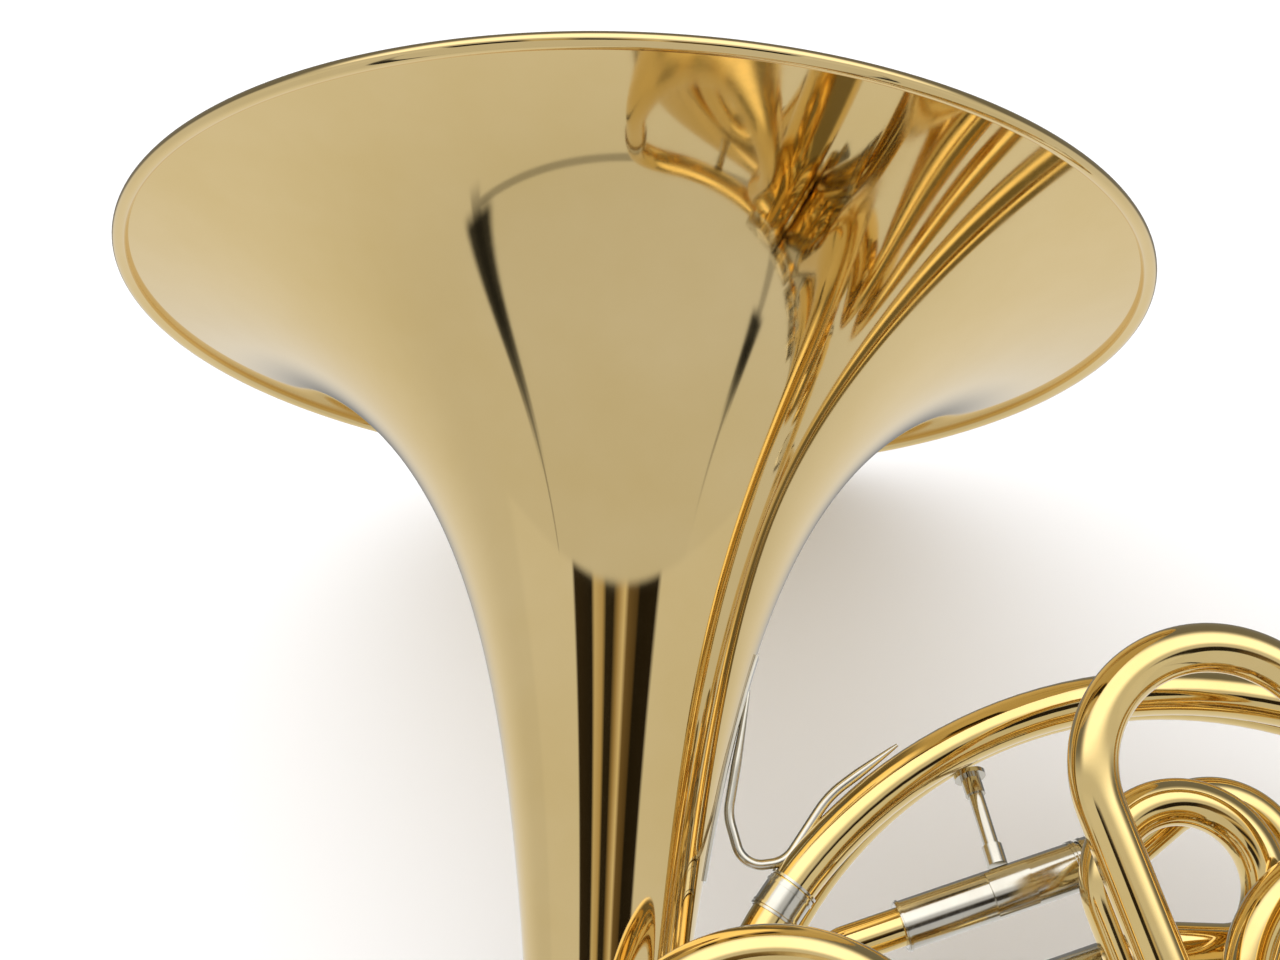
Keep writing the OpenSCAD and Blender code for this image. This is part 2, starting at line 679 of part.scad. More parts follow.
module main_slide_brace() {
  a = [-62.8, 117, -12.2];
  b = main_at(32.5, 0) - (sleeve_r + 0.75) * unit([main_side[0], main_side[1], 0.35]);
  u = unit(b - a);
  color(nickel) {
    straight(a, a + 1.4 * u, 4.6);
    straight(a + 1.4 * u, a + 7 * u, 2.9);
    straight(a + 7 * u, b - 6 * u, 2.2);
    straight(b - 6 * u, b, 2.9);
    translate(main_at(26.5, 0)) rotate([0, 0, main_slope]) rotate([90, 0, 90]) rotate([0, 0, 35])
      rotate_extrude(angle = 110, $fn = 96) translate([sleeve_r + 0.02, 0]) square([0.7, 12]);
  }
}

module body_braces() {
  color(nickel) {
    post([crook_x - crook_r, -22, high_deck - tube_r], [crook_x - crook_r, -22, tail_taper(0.05) + 0.4]);
    post([-100, branch_y, high_deck - tube_r], [-100, branch_y, 30], 2.2, 4);
    post([20, branch_y, high_deck - tube_r], [20, branch_y - 6, low_deck + tube_r], 2.2, 4);
    post([b_branch_x + tube_r, -46, low_deck], [tail_at(342)[0] - tail_taper(0.9), -46, 2], 2.2, 4);
    post([exit_x + tube_r, -70, 0], [-20, -150, 0], 2.2, 4);
  }
}

/* Levers */

module lever_rack() {
  color(nickel) {
    difference() {
      union() {
        for (x = post_x) {
          translate([x - 2, tail_y(x) - 3, rack_z - 3]) cube([4, hinge_y + 4.5 - tail_y(x) + 3, 3]);
          translate([x - 2, hinge_y - 4.5, rack_z - 1]) cube([4, 9, hinge_z - rack_z + 1]);
          translate([x - 2, hinge_y, hinge_z]) rotate([0, 90, 0]) cylinder(r = 4.5, h = 4, $fn = 48);
        }
        translate([post_x[0], hinge_y - 16, rack_z - 3]) cube([post_x[1] - post_x[0], 7, 3]);
      }
      translate([post_x[0] - 5, hinge_y, hinge_z]) rotate([0, 90, 0])
        cylinder(r = hinge_r + 0.02, h = post_x[1] - post_x[0] + 10, $fn = 32);
    }
    for (x = post_x) translate([x, tail_y(x), 8]) cylinder(r = 4, h = rack_z - 3 - 8 - hair, $fn = 48);
  }
}

module lever_hinge_rod() {
  color(steel) {
    straight([post_x[0] - 3, hinge_y, hinge_z], [post_x[1] + 3, hinge_y, hinge_z], hinge_r);
    straight([post_x[1] + 3, hinge_y, hinge_z], [post_x[1] + 4.5, hinge_y, hinge_z], 3);
  }
}

module lever_springs() {
  color(steel) for (k = [[17.5, 5], [38.6, 4], [44.2, 4]]) for (i = [0:k[1]-1])
    translate([k[0] + i * 1.15, hinge_y, hinge_z]) rotate([0, 90, 0])
      rotate_extrude($fn = 48) translate([2.5, 0]) circle(0.5, $fn = 16);
}

// A finger lever: a barrel on the hinge rod, a long arm with a finger plate, and a crank.
module finger_lever(i) {
  x = lever_x[i];
  rod = valve_x[i] - link_x;
  pin_y = hinge_y - stroke;
  pin_z = finger_link_z;
  long = paddle_reach;
  color(nickel) {
    difference() {
      union() {
        straight([barrels[i][0], hinge_y, hinge_z], [barrels[i][1], hinge_y, hinge_z], barrel_r);
        translate([x - 2.5, hinge_y - long + 10, hinge_z - 1.5]) cube([5, long - 10, 3]);
        translate([rod + 1.8, hinge_y, hinge_z]) rotate([180 - finger_swing, 0, 0])
          translate([0, -2.5, 0]) cube([2.5, 5, crank_l]);
        translate([rod + 1.8, pin_y, pin_z]) rotate([0, 90, 0]) cylinder(r = 3, h = 2.5, $fn = 48);
      }
      straight([barrels[i][0] - 1, hinge_y, hinge_z], [barrels[i][1] + 1, hinge_y, hinge_z],
        hinge_r + hinge_fit);
    }
    straight([rod - 2.1, pin_y, pin_z], [rod + 1.79, pin_y, pin_z], pin_r);
    translate([x, hinge_y - long, hinge_z + 1.55]) linear_extrude(1.8) {
      square([17, 16], center = true);
      for (s = [-1, 1]) translate([0, s * 8]) circle(8.5, $fn = 64);
    }
  }
}
module finger_lever_1() { finger_lever(0); }
module finger_lever_2() { finger_lever(1); }
module finger_lever_3() { finger_lever(2); }

// A link: an eye on the lever's pin at one end and a slotted eye around the rotor's pin at the other.
module slot_eye(x, y, top) {
  long = (pin_throw - pin_throw * cos(45)) / 2 + 0.4;
  difference() {
    translate([x, y, top - link_t]) linear_extrude(link_t) {
      square([2 * long, 2 * (pin_r + slot_w + 1.8)], center = true);
      for (s = [-1, 1]) translate([s * long, 0]) circle(pin_r + slot_w + 1.8, $fn = 48);
    }
    translate([x, y, top - link_t - 1]) linear_extrude(link_t + 2) {
      square([2 * long, 2 * (pin_r + slot_w)], center = true);
      for (s = [-1, 1]) translate([s * long, 0]) circle(pin_r + slot_w, $fn = 48);
    }
  }
}

module link_rod(i) {
  x = valve_x[i] - link_x;
  z = finger_link_z;
  a = hinge_y - stroke;
  b = valve_y - stroke;
  color(nickel) {
    slot_eye(x, b, z + link_t / 2);
    straight([x, a + 2.6, z], [x, b - pin_r - slot_w - 1, z], 1.2);
    difference() {
      straight([x - 1.5, a, z], [x + 1.5, a, z], 3);
      straight([x - 3, a, z], [x + 3, a, z], pin_r + 0.05);
    }
  }
}
module link_rod_1() { link_rod(0); }
module link_rod_2() { link_rod(1); }
module link_rod_3() { link_rod(2); }

module thumb_bracket() {
  low = thumb_z + thumb_t + 0.3;
  color(nickel) difference() {
    union() {
      translate([thumb_x - 4, tail_y(thumb_x) - 2, low]) cube([8, thumb_y - tail_y(thumb_x) + 2, 2.5]);
      translate([thumb_x, thumb_y, low]) cylinder(r = 5, h = 3.2, $fn = 48);
      translate([thumb_x, tail_y(thumb_x), low]) cylinder(r = 5, h = -10.5 - low, $fn = 48);
    }
    translate([thumb_x, thumb_y, low - 1]) cylinder(r = 1.6, h = 20, $fn = 32);
  }
  color(steel) translate([thumb_x, thumb_y, thumb_z - 1.5]) {
    translate([0, 0, 1.3]) cylinder(r = 1.58, h = thumb_t + 3.4, $fn = 32);
    cylinder(r = 3, h = 1.3, $fn = 32);
  }
}

module thumb_lever() {
  turn = 180 + thumb_swing;
  pin = [thumb_x - thumb_crank * cos(thumb_swing), thumb_y - stroke];
  color(nickel) {
    difference() {
      union() {
        for (p = [[thumb_x, thumb_y], pin])
          translate([p[0], p[1], thumb_z]) cylinder(r = 3.6, h = thumb_t, $fn = 48);
        translate([thumb_x, thumb_y, thumb_z]) rotate([0, 0, turn]) translate([0, -2.5, 0])
          cube([thumb_crank, 5, thumb_t]);
        translate([thumb_x, thumb_y, thumb_z]) rotate([0, 0, thumb_arm]) translate([0, -2.5, 0])
          cube([36, 5, thumb_t]);
      }
      translate([thumb_x, thumb_y, thumb_z - 1]) cylinder(r = 1.62, h = thumb_t + 2, $fn = 32);
    }
    translate([pin[0], pin[1], thumb_z - link_t - 0.8]) cylinder(r = pin_r, h = link_t + 0.79, $fn = 32);
    translate([thumb_x, thumb_y, thumb_z]) rotate([0, 0, thumb_arm]) translate([44, 0, 0])
      linear_extrude(thumb_t) {
        square([12, 16], center = true);
        for (s = [-1, 1]) translate([s * 6, 0]) circle(8, $fn = 64);
      }
  }
}

module thumb_link() {
  x = change_x - link_x;
  z = change_under - link_top - link_t / 2;
  px = thumb_x - thumb_crank * cos(thumb_swing);
  a = thumb_y - stroke;
  b = valve_y - stroke;
  color(nickel) {
    slot_eye(x, b, z + link_t / 2);
    straight([px, a + 3.2, z], [x, b - pin_r - slot_w - 1, z], 1.2);
    translate([px, a, z - link_t / 2]) difference() {
      cylinder(r = 3.4, h = link_t, $fn = 48);
      translate([0, 0, -1]) cylinder(r = pin_r + 0.05, h = link_t + 2, $fn = 32);
    }
  }
}

module finger_hook() {
  a = 330;
  p = tail_at(a);
  out = [cos(a), sin(a), 0];
  r = tail_taper((a - 180) / 180);
  foot = [p[0], p[1], 0] + (r + 0.05) * [0, 0, 1];
  color(nickel) pipe([foot, foot + [0, 0, 16], foot + [0, 0, 16] + 34 * out, foot + [0, 0, -4] + 44 * out],
    [0, 9, 9, 0], 2.4, 0);
}

module water_key_seat() {
  c = [u_turn_x, pipe_drop - u_turn_r, pipe_z];
  color(nickel) {
    straight(c + [0, -pipe_r + 0.1, 0], c + [0, -pipe_r - 3.5, 0], 2.6, 1.6);
    for (s = [-1, 1]) translate(c + [15, -pipe_r - 3.5, s * 3.2 - 0.6]) difference() {
      union() {
        cylinder(r = 1.9, h = 1.2, $fn = 32);
        translate([-1.9, 0, 0]) cube([3.8, 9, 1.2]);
      }
      translate([0, 0, -1]) cylinder(r = 0.83, h = 4, $fn = 24);
    }
    translate(c + [15, -pipe_r - 3.5, -4.6]) cylinder(r = 0.8, h = 9.2, $fn = 24);
  }
}

module water_key() {
  c = [u_turn_x, pipe_drop - u_turn_r, pipe_z];
  p = c + [15, -pipe_r - 3.5, 0];
  color(nickel) {
    difference() {
      union() {
        translate(p + [0, 0, -2.3]) cylinder(r = 1.9, h = 4.6, $fn = 32);
        translate(p + [-16, -3.3, -1.2]) cube([30, 1.6, 2.4]);
        translate(p + [-1.2, -2.5, -1.2]) cube([2.4, 2.5, 2.4]);
        translate(p + [10, -3.3, -4]) cube([9, 1.6, 8]);
      }
      translate(p + [0, 0, -4]) cylinder(r = 0.85, h = 8, $fn = 24);
    }
    straight(c + [0, -pipe_r - 5.2, 0], c + [0, -pipe_r - 3.8, 0], 3.4);
  }
}

lay() bell();
lay() rim_wire();
lay() bell_tail();
lay() bell_branch();
lay() tail_ferrule();
lay() tube_ferrules();
lay() mouthpipe();
lay() mouthpiece_receiver();
lay() mouthpiece();
lay() main_slide_sleeves();
lay() main_slide();
lay() valve_casing_1();
lay() valve_casing_2();
lay() valve_casing_3();
lay() change_casing();
lay() rotor_1();
lay() rotor_2();
lay() rotor_3();
lay() change_rotor();
lay() stop_arm_1();
lay() stop_arm_2();
lay() stop_arm_3();
lay() change_stop_arm();
lay() bearing_plates();
lay() back_plates();
lay() valve_caps();
lay() stop_corks();
lay() slide_sleeves_1();
lay() slide_sleeves_2();
lay() slide_sleeves_3();
lay() f_slide_1();
lay() f_slide_2();
lay() f_slide_3();
lay() b_slide_1();
lay() b_slide_2();
lay() b_slide_3();
lay() f_crook();
lay() f_branch();
lay() f_tuning_sleeves();
lay() f_tuning_slide();
lay() b_branch();
lay() bell_brace_plate();
lay() bell_brace();
lay() main_slide_brace();
lay() body_braces();
lay() lever_rack();
lay() lever_hinge_rod();
lay() lever_springs();
lay() finger_lever_1();
lay() finger_lever_2();
lay() finger_lever_3();
lay() link_rod_1();
lay() link_rod_2();
lay() link_rod_3();
lay() thumb_bracket();
lay() thumb_lever();
lay() thumb_link();
lay() finger_hook();
lay() water_key_seat();
lay() water_key();
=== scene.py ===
import bpy, bmesh, json, math
from mathutils import Vector, Matrix


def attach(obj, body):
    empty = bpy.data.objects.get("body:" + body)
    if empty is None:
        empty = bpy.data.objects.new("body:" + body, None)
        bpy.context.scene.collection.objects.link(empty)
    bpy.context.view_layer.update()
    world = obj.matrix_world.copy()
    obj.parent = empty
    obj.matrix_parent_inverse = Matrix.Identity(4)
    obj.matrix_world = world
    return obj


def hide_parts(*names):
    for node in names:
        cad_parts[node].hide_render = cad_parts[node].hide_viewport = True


mm = 0.001
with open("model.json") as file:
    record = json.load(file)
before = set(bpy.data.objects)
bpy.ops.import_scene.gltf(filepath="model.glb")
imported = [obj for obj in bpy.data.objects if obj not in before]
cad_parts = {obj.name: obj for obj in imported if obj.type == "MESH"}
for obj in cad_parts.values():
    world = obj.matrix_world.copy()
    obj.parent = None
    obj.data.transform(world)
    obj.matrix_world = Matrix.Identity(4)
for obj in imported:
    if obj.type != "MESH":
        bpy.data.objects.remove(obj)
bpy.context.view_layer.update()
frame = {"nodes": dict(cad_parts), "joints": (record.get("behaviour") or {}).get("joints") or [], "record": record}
nodes = frame["nodes"]
joints = {j["name"]: j for j in frame["joints"]}
print("frame loaded:", len(nodes), "nodes")

# The horn's own directions: across and along lie in the plane of the big circle, and up leaves it
# towards the valve caps. Valve 1 stands at valveSpot, in mm from the middle of the circle.
up = -Vector(joints["valve_1_spin"]["axis"]).normalized()
along = Vector(joints["f_slide_1_pull"]["axis"]).normalized()
across = along.cross(up).normalized()
turned = Matrix((across, along, up)).transposed()
valveSpot = Vector((-10.5, -20, 30))
middle = Vector(joints["valve_1_spin"]["pos_m"]) - turned @ valveSpot * mm
hornPlane = Matrix.Translation(middle) @ turned.to_4x4() @ Matrix.Scale(mm, 4)


def place(p):
    return hornPlane @ Vector(p)


# camera

camera = bpy.data.objects.new("camera", bpy.data.cameras.new("camera"))
bpy.context.scene.collection.objects.link(camera)
view = {"from": (-161.9, 35.7, 512.5), "forward": (0, 0.304, -0.953), "top": (-0.038, 0.952, 0.304),
    "sensor": 36, "lens": 50.6, "near": 0.01, "far": 50}
back = -(turned @ Vector(view["forward"])).normalized()
side = (turned @ Vector(view["top"])).cross(back).normalized()
heading = Matrix((side, back.cross(side), back)).transposed().to_4x4()
camera.matrix_world = Matrix.Translation(place(view["from"])) @ heading
camera.data.sensor_width = view["sensor"]
camera.data.lens = view["lens"]
camera.data.clip_start, camera.data.clip_end = view["near"], view["far"]
bpy.context.scene.camera = camera


# materials

def hexColour(code):
    parts = [int(code[i:i + 2], 16) / 255 for i in (1, 3, 5)]
    return (*[c / 12.92 if c <= 0.04045 else ((c + 0.055) / 1.055) ** 2.4 for c in parts], 1)


def addNode(tree, kind, links=(), **settings):
    node = tree.nodes.new(kind)
    for key, value in settings.items():
        setattr(node, key, value)
    for socket, value in dict(links).items():
        target = node.inputs[socket]
        if isinstance(value, bpy.types.NodeSocket):
            tree.links.new(value, target)
        else:
            target.default_value = value
    return node


def ramp(tree, source, stops):
    node = addNode(tree, "ShaderNodeValToRGB", {0: source})
    band = node.color_ramp.elements
    while len(band) < len(stops):
        band.new(0.5)
    for element, (at, colour) in zip(band, stops):
        element.position, element.color = at, colour
    return node.outputs[0]


# Polished metal under clear lacquer or polish: haze and wipe marks change how sharp it mirrors,
# fine scratches and pin-prick pits catch the light. Scales are per metre: a cloudScale of 9 gives
# patches about 110 mm across, and a pitScale of 220 puts pits about 4.5 mm apart.
def polishedMetal(name, look):
    material = bpy.data.materials.new(name)
    material.use_nodes = True
    tree = material.node_tree
    shader = tree.nodes["Principled BSDF"]
    where = addNode(tree, "ShaderNodeTexCoord").outputs["Object"]
    cloud = addNode(tree, "ShaderNodeTexNoise",
        {"Vector": where, "Scale": look["cloudScale"], "Detail": 5.0, "Roughness": 0.6})
    streakSpace = addNode(tree, "ShaderNodeMapping",
        {"Vector": where, "Rotation": look["wipeTurn"], "Scale": look["wipeStretch"]})
    wipe = addNode(tree, "ShaderNodeTexNoise",
        {"Vector": streakSpace.outputs[0], "Scale": look["wipeScale"], "Detail": 8.0, "Roughness": 0.7})
    hazeMix = addNode(tree, "ShaderNodeMath",
        {0: cloud.outputs["Fac"], 1: wipe.outputs["Fac"]}, operation="MULTIPLY")
    rough = addNode(tree, "ShaderNodeMapRange", {"Value": hazeMix.outputs[0], "From Min": 0.12,
        "From Max": 0.42, "To Min": look["rough"][0], "To Max": look["rough"][1]})
    tint = ramp(tree, cloud.outputs["Fac"],
        [(0.3, hexColour(look["dull"])), (0.7, hexColour(look["colour"]))])
    pitMap = addNode(tree, "ShaderNodeTexVoronoi",
        {"Vector": where, "Scale": look["pitScale"], "Randomness": 1.0})
    pit = addNode(tree, "ShaderNodeMapRange", {"Value": pitMap.outputs["Distance"], "From Min": 0.02,
        "From Max": 0.06, "To Min": 0.0, "To Max": 1.0})
    pitRare = addNode(tree, "ShaderNodeSeparateColor", {0: pitMap.outputs["Color"]})
    pitPick = addNode(tree, "ShaderNodeMath",
        {0: pitRare.outputs[0], 1: look["pitShare"]}, operation="GREATER_THAN")
    pitHeight = addNode(tree, "ShaderNodeMath",
        {0: pit.outputs[0], 1: pitPick.outputs[0]}, operation="MAXIMUM")
    scratch = addNode(tree, "ShaderNodeMath",
        {0: wipe.outputs["Fac"], 1: look["scratch"]}, operation="MULTIPLY")
    height = addNode(tree, "ShaderNodeMath",
        {0: pitHeight.outputs[0], 1: scratch.outputs[0]}, operation="ADD")
    bump = addNode(tree, "ShaderNodeBump",
        {"Height": height.outputs[0], "Strength": look["bump"], "Distance": 0.0001})
    tree.links.new(tint, shader.inputs["Base Color"])
    tree.links.new(rough.outputs[0], shader.inputs["Roughness"])
    tree.links.new(bump.outputs[0], shader.inputs["Normal"])
    shader.inputs["Metallic"].default_value = 1.0
    shader.inputs["Coat Weight"].default_value = look["coat"]
    shader.inputs["Coat Roughness"].default_value = look["coatRough"]
    return material


# Yellow brass, buffed and sprayed with clear lacquer: mirrors the room with a pale straw tone.
lacqueredBrass = polishedMetal("lacqueredYellowBrass", {"colour": "#ecd39c", "dull": "#e3c787",
    "rough": (0.02, 0.07), "cloudScale": 9.0, "wipeScale": 60.0,
    "wipeStretch": (1, 0.12, 1), "wipeTurn": (0, 0, 0.3), "pitScale": 90.0,
    "pitShare": 0.06, "scratch": 0.35, "bump": 0.05, "coat": 0.25, "coatRough": 0.04})
# The same brass on drawn tube: it was buffed along the tube and shows more small pits.
drawnBrass = polishedMetal("lacqueredDrawnBrass", {"colour": "#efd494", "dull": "#e6c881",
    "rough": (0.03, 0.1), "cloudScale": 30.0, "wipeScale": 160.0,
    "wipeStretch": (1, 1, 0.3), "wipeTurn": (0.4, 0, 0.8), "pitScale": 220.0,
    "pitShare": 0.10, "scratch": 0.5, "bump": 0.10, "coat": 0.25, "coatRough": 0.05})
# Nickel silver, polished: a warm grey mirror with fine polishing lines.
nickelSilver = polishedMetal("polishedNickelSilver", {"colour": "#d8d4c8", "dull": "#c6c0b2",
    "rough": (0.08, 0.2), "cloudScale": 40.0, "wipeScale": 320.0,
    "wipeStretch": (1, 0.2, 1), "wipeTurn": (0, 0, 0.35), "pitScale": 300.0,
    "pitShare": 0.08, "scratch": 0.8, "bump": 0.12, "coat": 0.1, "coatRough": 0.08})
# Silver plate on the mouthpiece: bright, nearly neutral, very smooth.
silverPlate = polishedMetal("silverPlate", {"colour": "#eeebe4", "dull": "#dedad0",
    "rough": (0.04, 0.1), "cloudScale": 60.0, "wipeScale": 240.0,
    "wipeStretch": (1, 1, 0.4), "wipeTurn": (0, 0.3, 0), "pitScale": 260.0,
    "pitShare": 0.05, "scratch": 0.4, "bump": 0.05, "coat": 0.0, "coatRough": 0.1})
# Turned steel of springs, hinge rod and screws: grey with a satin grain.
turnedSteel = polishedMetal("turnedSteel", {"colour": "#a3a4a6", "dull": "#8a8b8e",
    "rough": (0.2, 0.36), "cloudScale": 80.0, "wipeScale": 500.0,
    "wipeStretch": (0.2, 1, 1), "wipeTurn": (0, 0, 0), "pitScale": 400.0,
    "pitShare": 0.1, "scratch": 1.0, "bump": 0.25, "coat": 0.0, "coatRough": 0.1})
# Rotor brass, ground and unlacquered: duller and browner than the tubes.
groundBrass = polishedMetal("groundBrass", {"colour": "#cda765", "dull": "#b48c4c",
    "rough": (0.22, 0.38), "cloudScale": 50.0, "wipeScale": 400.0,
    "wipeStretch": (1, 1, 0.2), "wipeTurn": (0, 0, 0), "pitScale": 300.0,
    "pitShare": 0.1, "scratch": 1.0, "bump": 0.2, "coat": 0.0, "coatRough": 0.1})


# Agglomerated cork of the stop bumpers: grains about 0.8 mm across in two browns, quite matte.
def corkMaterial():
    material = bpy.data.materials.new("agglomeratedCork")
    material.use_nodes = True
    tree = material.node_tree
    shader = tree.nodes["Principled BSDF"]
    where = addNode(tree, "ShaderNodeTexCoord").outputs["Object"]
    grain = addNode(tree, "ShaderNodeTexVoronoi", {"Vector": where, "Scale": 1200.0})
    split = addNode(tree, "ShaderNodeSeparateColor", {0: grain.outputs["Color"]})
    browns = ((0.1, "#7d5a35"), (0.5, "#b08a58"), (0.9, "#c9a672"))
    tint = ramp(tree, split.outputs[0], [(at, hexColour(colour)) for at, colour in browns])
    bump = addNode(tree, "ShaderNodeBump",
        {"Height": grain.outputs["Distance"], "Strength": 0.6, "Distance": 0.0003})
    tree.links.new(tint, shader.inputs["Base Color"])
    tree.links.new(bump.outputs[0], shader.inputs["Normal"])
    shader.inputs["Roughness"].default_value = 0.85
    return material


cork = corkMaterial()
finishOf = {"lacquered_brass": drawnBrass, "nickel_silver": nickelSilver, "rotor_brass": groundBrass,
    "silver_plate": silverPlate, "steel": turnedSteel, "cork": cork}
for part in frame["record"]["subparts"]:
    data = nodes[part["node"]].data
    data.materials.clear()
    data.materials.append(finishOf[part["material_slot"]])
print("materials made")


# swept tubes: a chain of points becomes a curve, and the tree draws a round wall along it

def tubeTree():
    tree = bpy.data.node_groups.new("sweptTube", "GeometryNodeTree")
    face = tree.interface
    face.new_socket("Geometry", in_out="INPUT", socket_type="NodeSocketGeometry")
    for name, value in (("Radius", 0.0065), ("Wall", 0.0005)):
        face.new_socket(name, in_out="INPUT", socket_type="NodeSocketFloat").default_value = value
    face.new_socket("Sides", in_out="INPUT", socket_type="NodeSocketInt").default_value = 48
    face.new_socket("Solid", in_out="INPUT", socket_type="NodeSocketBool")
    face.new_socket("Finish", in_out="INPUT", socket_type="NodeSocketMaterial")
    face.new_socket("Geometry", in_out="OUTPUT", socket_type="NodeSocketGeometry")
    given = addNode(tree, "NodeGroupInput").outputs
    path = addNode(tree, "GeometryNodeMeshToCurve", {"Mesh": given["Geometry"]})
    swell = addNode(tree, "GeometryNodeInputNamedAttribute", {"Name": "swell"}, data_type="FLOAT")
    circle = addNode(tree, "GeometryNodeCurvePrimitiveCircle",
        {"Resolution": given["Sides"], "Radius": given["Radius"]}, mode="RADIUS")
    skin = addNode(tree, "GeometryNodeCurveToMesh", {"Curve": path.outputs[0],
        "Profile Curve": circle.outputs[0], "Scale": swell.outputs[0], "Fill Caps": given["Solid"]})
    inward = addNode(tree, "ShaderNodeMath", {0: given["Wall"], 1: -1.0}, operation="MULTIPLY")
    wall = addNode(tree, "GeometryNodeExtrudeMesh",
        {"Mesh": skin.outputs[0], "Offset Scale": inward.outputs[0], "Individual": False}, mode="FACES")
    inner = addNode(tree, "GeometryNodeFlipFaces", {"Mesh": wall.outputs[0]})
    both = addNode(tree, "GeometryNodeJoinGeometry")
    for part in (inner.outputs[0], skin.outputs[0]):
        tree.links.new(part, both.inputs[0])
    closed = addNode(tree, "GeometryNodeMergeByDistance",
        {"Geometry": both.outputs[0], "Distance": 0.000001})
    pick = addNode(tree, "GeometryNodeSwitch", {"Switch": given["Solid"], "False": closed.outputs[0],
        "True": skin.outputs[0]}, input_type="GEOMETRY")
    real = addNode(tree, "GeometryNodeRealizeInstances", {0: pick.outputs[0]})
    painted = addNode(tree, "GeometryNodeSetMaterial",
        {"Geometry": real.outputs[0], "Material": given["Finish"]})
    addNode(tree, "NodeGroupOutput", {0: painted.outputs[0]})
    return tree


sweptTube = tubeTree()


def evaluatedMesh(thing):
    return bpy.data.meshes.new_from_object(thing.evaluated_get(bpy.context.evaluated_depsgraph_get()))


# One or more chains of points in mm, in the horn's directions, swept with one radius and one wall.
# swells scales the radius point by point, where a tube or rod tapers. A wall of 0 makes a solid rod.
def sweep(chains, radius, wall, finish, sides=48, swells=None):
    points, edges, widths = [], [], []
    for number, chain in enumerate(chains):
        start = len(points)
        points += [place(p) for p in chain]
        edges += [(k, k + 1) for k in range(start, len(points) - 1)]
        widths += swells[number] if swells else [1.0] * len(chain)
    data = bpy.data.meshes.new("path")
    data.from_pydata(points, edges, [])
    data.attributes.new("swell", "FLOAT", "POINT").data.foreach_set("value", widths)
    thing = bpy.data.objects.new("path", data)
    bpy.context.scene.collection.objects.link(thing)
    modifier = thing.modifiers.new("tube", "NODES")
    modifier.node_group = sweptTube
    inputs = {s.name: s.identifier for s in sweptTube.interface.items_tree if s.in_out == "INPUT"}
    settings = {"Radius": radius * mm, "Wall": wall * mm, "Sides": sides, "Solid": wall == 0,
        "Finish": finish}
    for name, value in settings.items():
        modifier[inputs[name]] = value
    made = evaluatedMesh(thing)
    made.materials.clear()
    made.materials.append(finish)
    bpy.data.objects.remove(thing)
    return made


# Joins the finished parts of one piece, smooths the round faces and keeps the edges crisp.
def piece(name, body, parts, stands, edge=40):
    joined = bmesh.new()
    finishes = []
    for data in parts:
        first = len(joined.faces)
        joined.from_mesh(data)
        joined.faces.ensure_lookup_table()
        finish = data.materials[0]
        if finish not in finishes:
            finishes.append(finish)
        for face in joined.faces[first:]:
            face.material_index = finishes.index(finish)
            face.smooth = True
    data = bpy.data.meshes.new(name)
    joined.to_mesh(data)
    joined.free()
    for finish in finishes:
        data.materials.append(finish)
    data.set_sharp_from_angle(angle=math.radians(edge))
    thing = bpy.data.objects.new(name, data)
    bpy.context.scene.collection.objects.link(thing)
    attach(thing, body)
    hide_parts(*stands)


# Points along an arc in mm, from one angle in degrees to another.
def arcPoints(centre, radius, first, last, step=2.5):
    count = max(2, math.ceil(abs(last - first) / step))
    turns = [math.radians(first + (last - first) * k / count) for k in range(count + 1)]
    return [(centre[0] + radius * math.cos(t), centre[1] + radius * math.sin(t), centre[2])
        for t in turns]


# A path through points whose inner corners are rounded with the radii.
def bentPath(points, radii, step=3.0):
    points = [Vector(p) for p in points]
    path = [points[0]]
    for k in range(1, len(points) - 1):
        before, corner, after = points[k - 1:k + 2]
        u, v = (corner - before).normalized(), (after - corner).normalized()
        angle = u.angle(v)
        if angle < 0.001:
            continue
        cut = radii[k] * math.tan(angle / 2)
        inward = (v - v.dot(u) * u).normalized()
        centre = corner - u * cut + inward * radii[k]
        count = max(2, math.ceil(math.degrees(angle) / step))
        for j in range(count + 1):
            a = angle * j / count
            path.append(centre - inward * radii[k] * math.cos(a) + u * radii[k] * math.sin(a))
    path.append(points[-1])
    return [tuple(p) for p in path]


# sizes of the tubing in mm, as in the solid model
tube = {"r": 6.5, "wall": 0.5, "leg": 6.3, "sleeve": 6.85, "ferrule": 7.05, "pipe": 5.4, "port": 10.4,
    "low": 17, "high": 52, "valveY": -20, "valveX": (-10.5, 33, 76.5), "changeX": -48, "stub": 21,
    "halfGap": 21.75, "circle": 141, "legWall": 0.4}


def brassTube(chains, **more):
    return sweep(chains, tube["r"], tube["wall"], drawnBrass, **more)


# An outer slide sleeve, with two raised rings at its open end and, where asked, one at the other.
def ringed(a, b, bothEnds=False):
    a, b = Vector(a), Vector(b)
    u = (b - a).normalized()
    r = tube["sleeve"]
    rings = [(b - 2.1 * u, b - 1.35 * u), (b - 1.1 * u, b - 0.35 * u)]
    if bothEnds:
        rings += [(a + 0.35 * u, a + 1.1 * u)]
    return [sweep([(a, b)], r, 0.5, nickelSilver), sweep(rings, r + 0.35, 0.33, nickelSilver)]


# A ferrule: a short nickel-silver ring over the joint of two tubes, with a bead near each end.
def ferrule(a, b):
    a, b = Vector(a), Vector(b)
    u = (b - a).normalized()
    beads = [(a + 0.4 * u, a + 1.0 * u), (b - 1.0 * u, b - 0.4 * u)]
    return [sweep([(a, b)], tube["ferrule"], 0.5, nickelSilver),
        sweep(beads, tube["ferrule"] + 0.22, 0.2, nickelSilver)]


def slideLeg(a, b):
    return sweep([(a, b)], tube["leg"], tube["legWall"], nickelSilver)


# bell

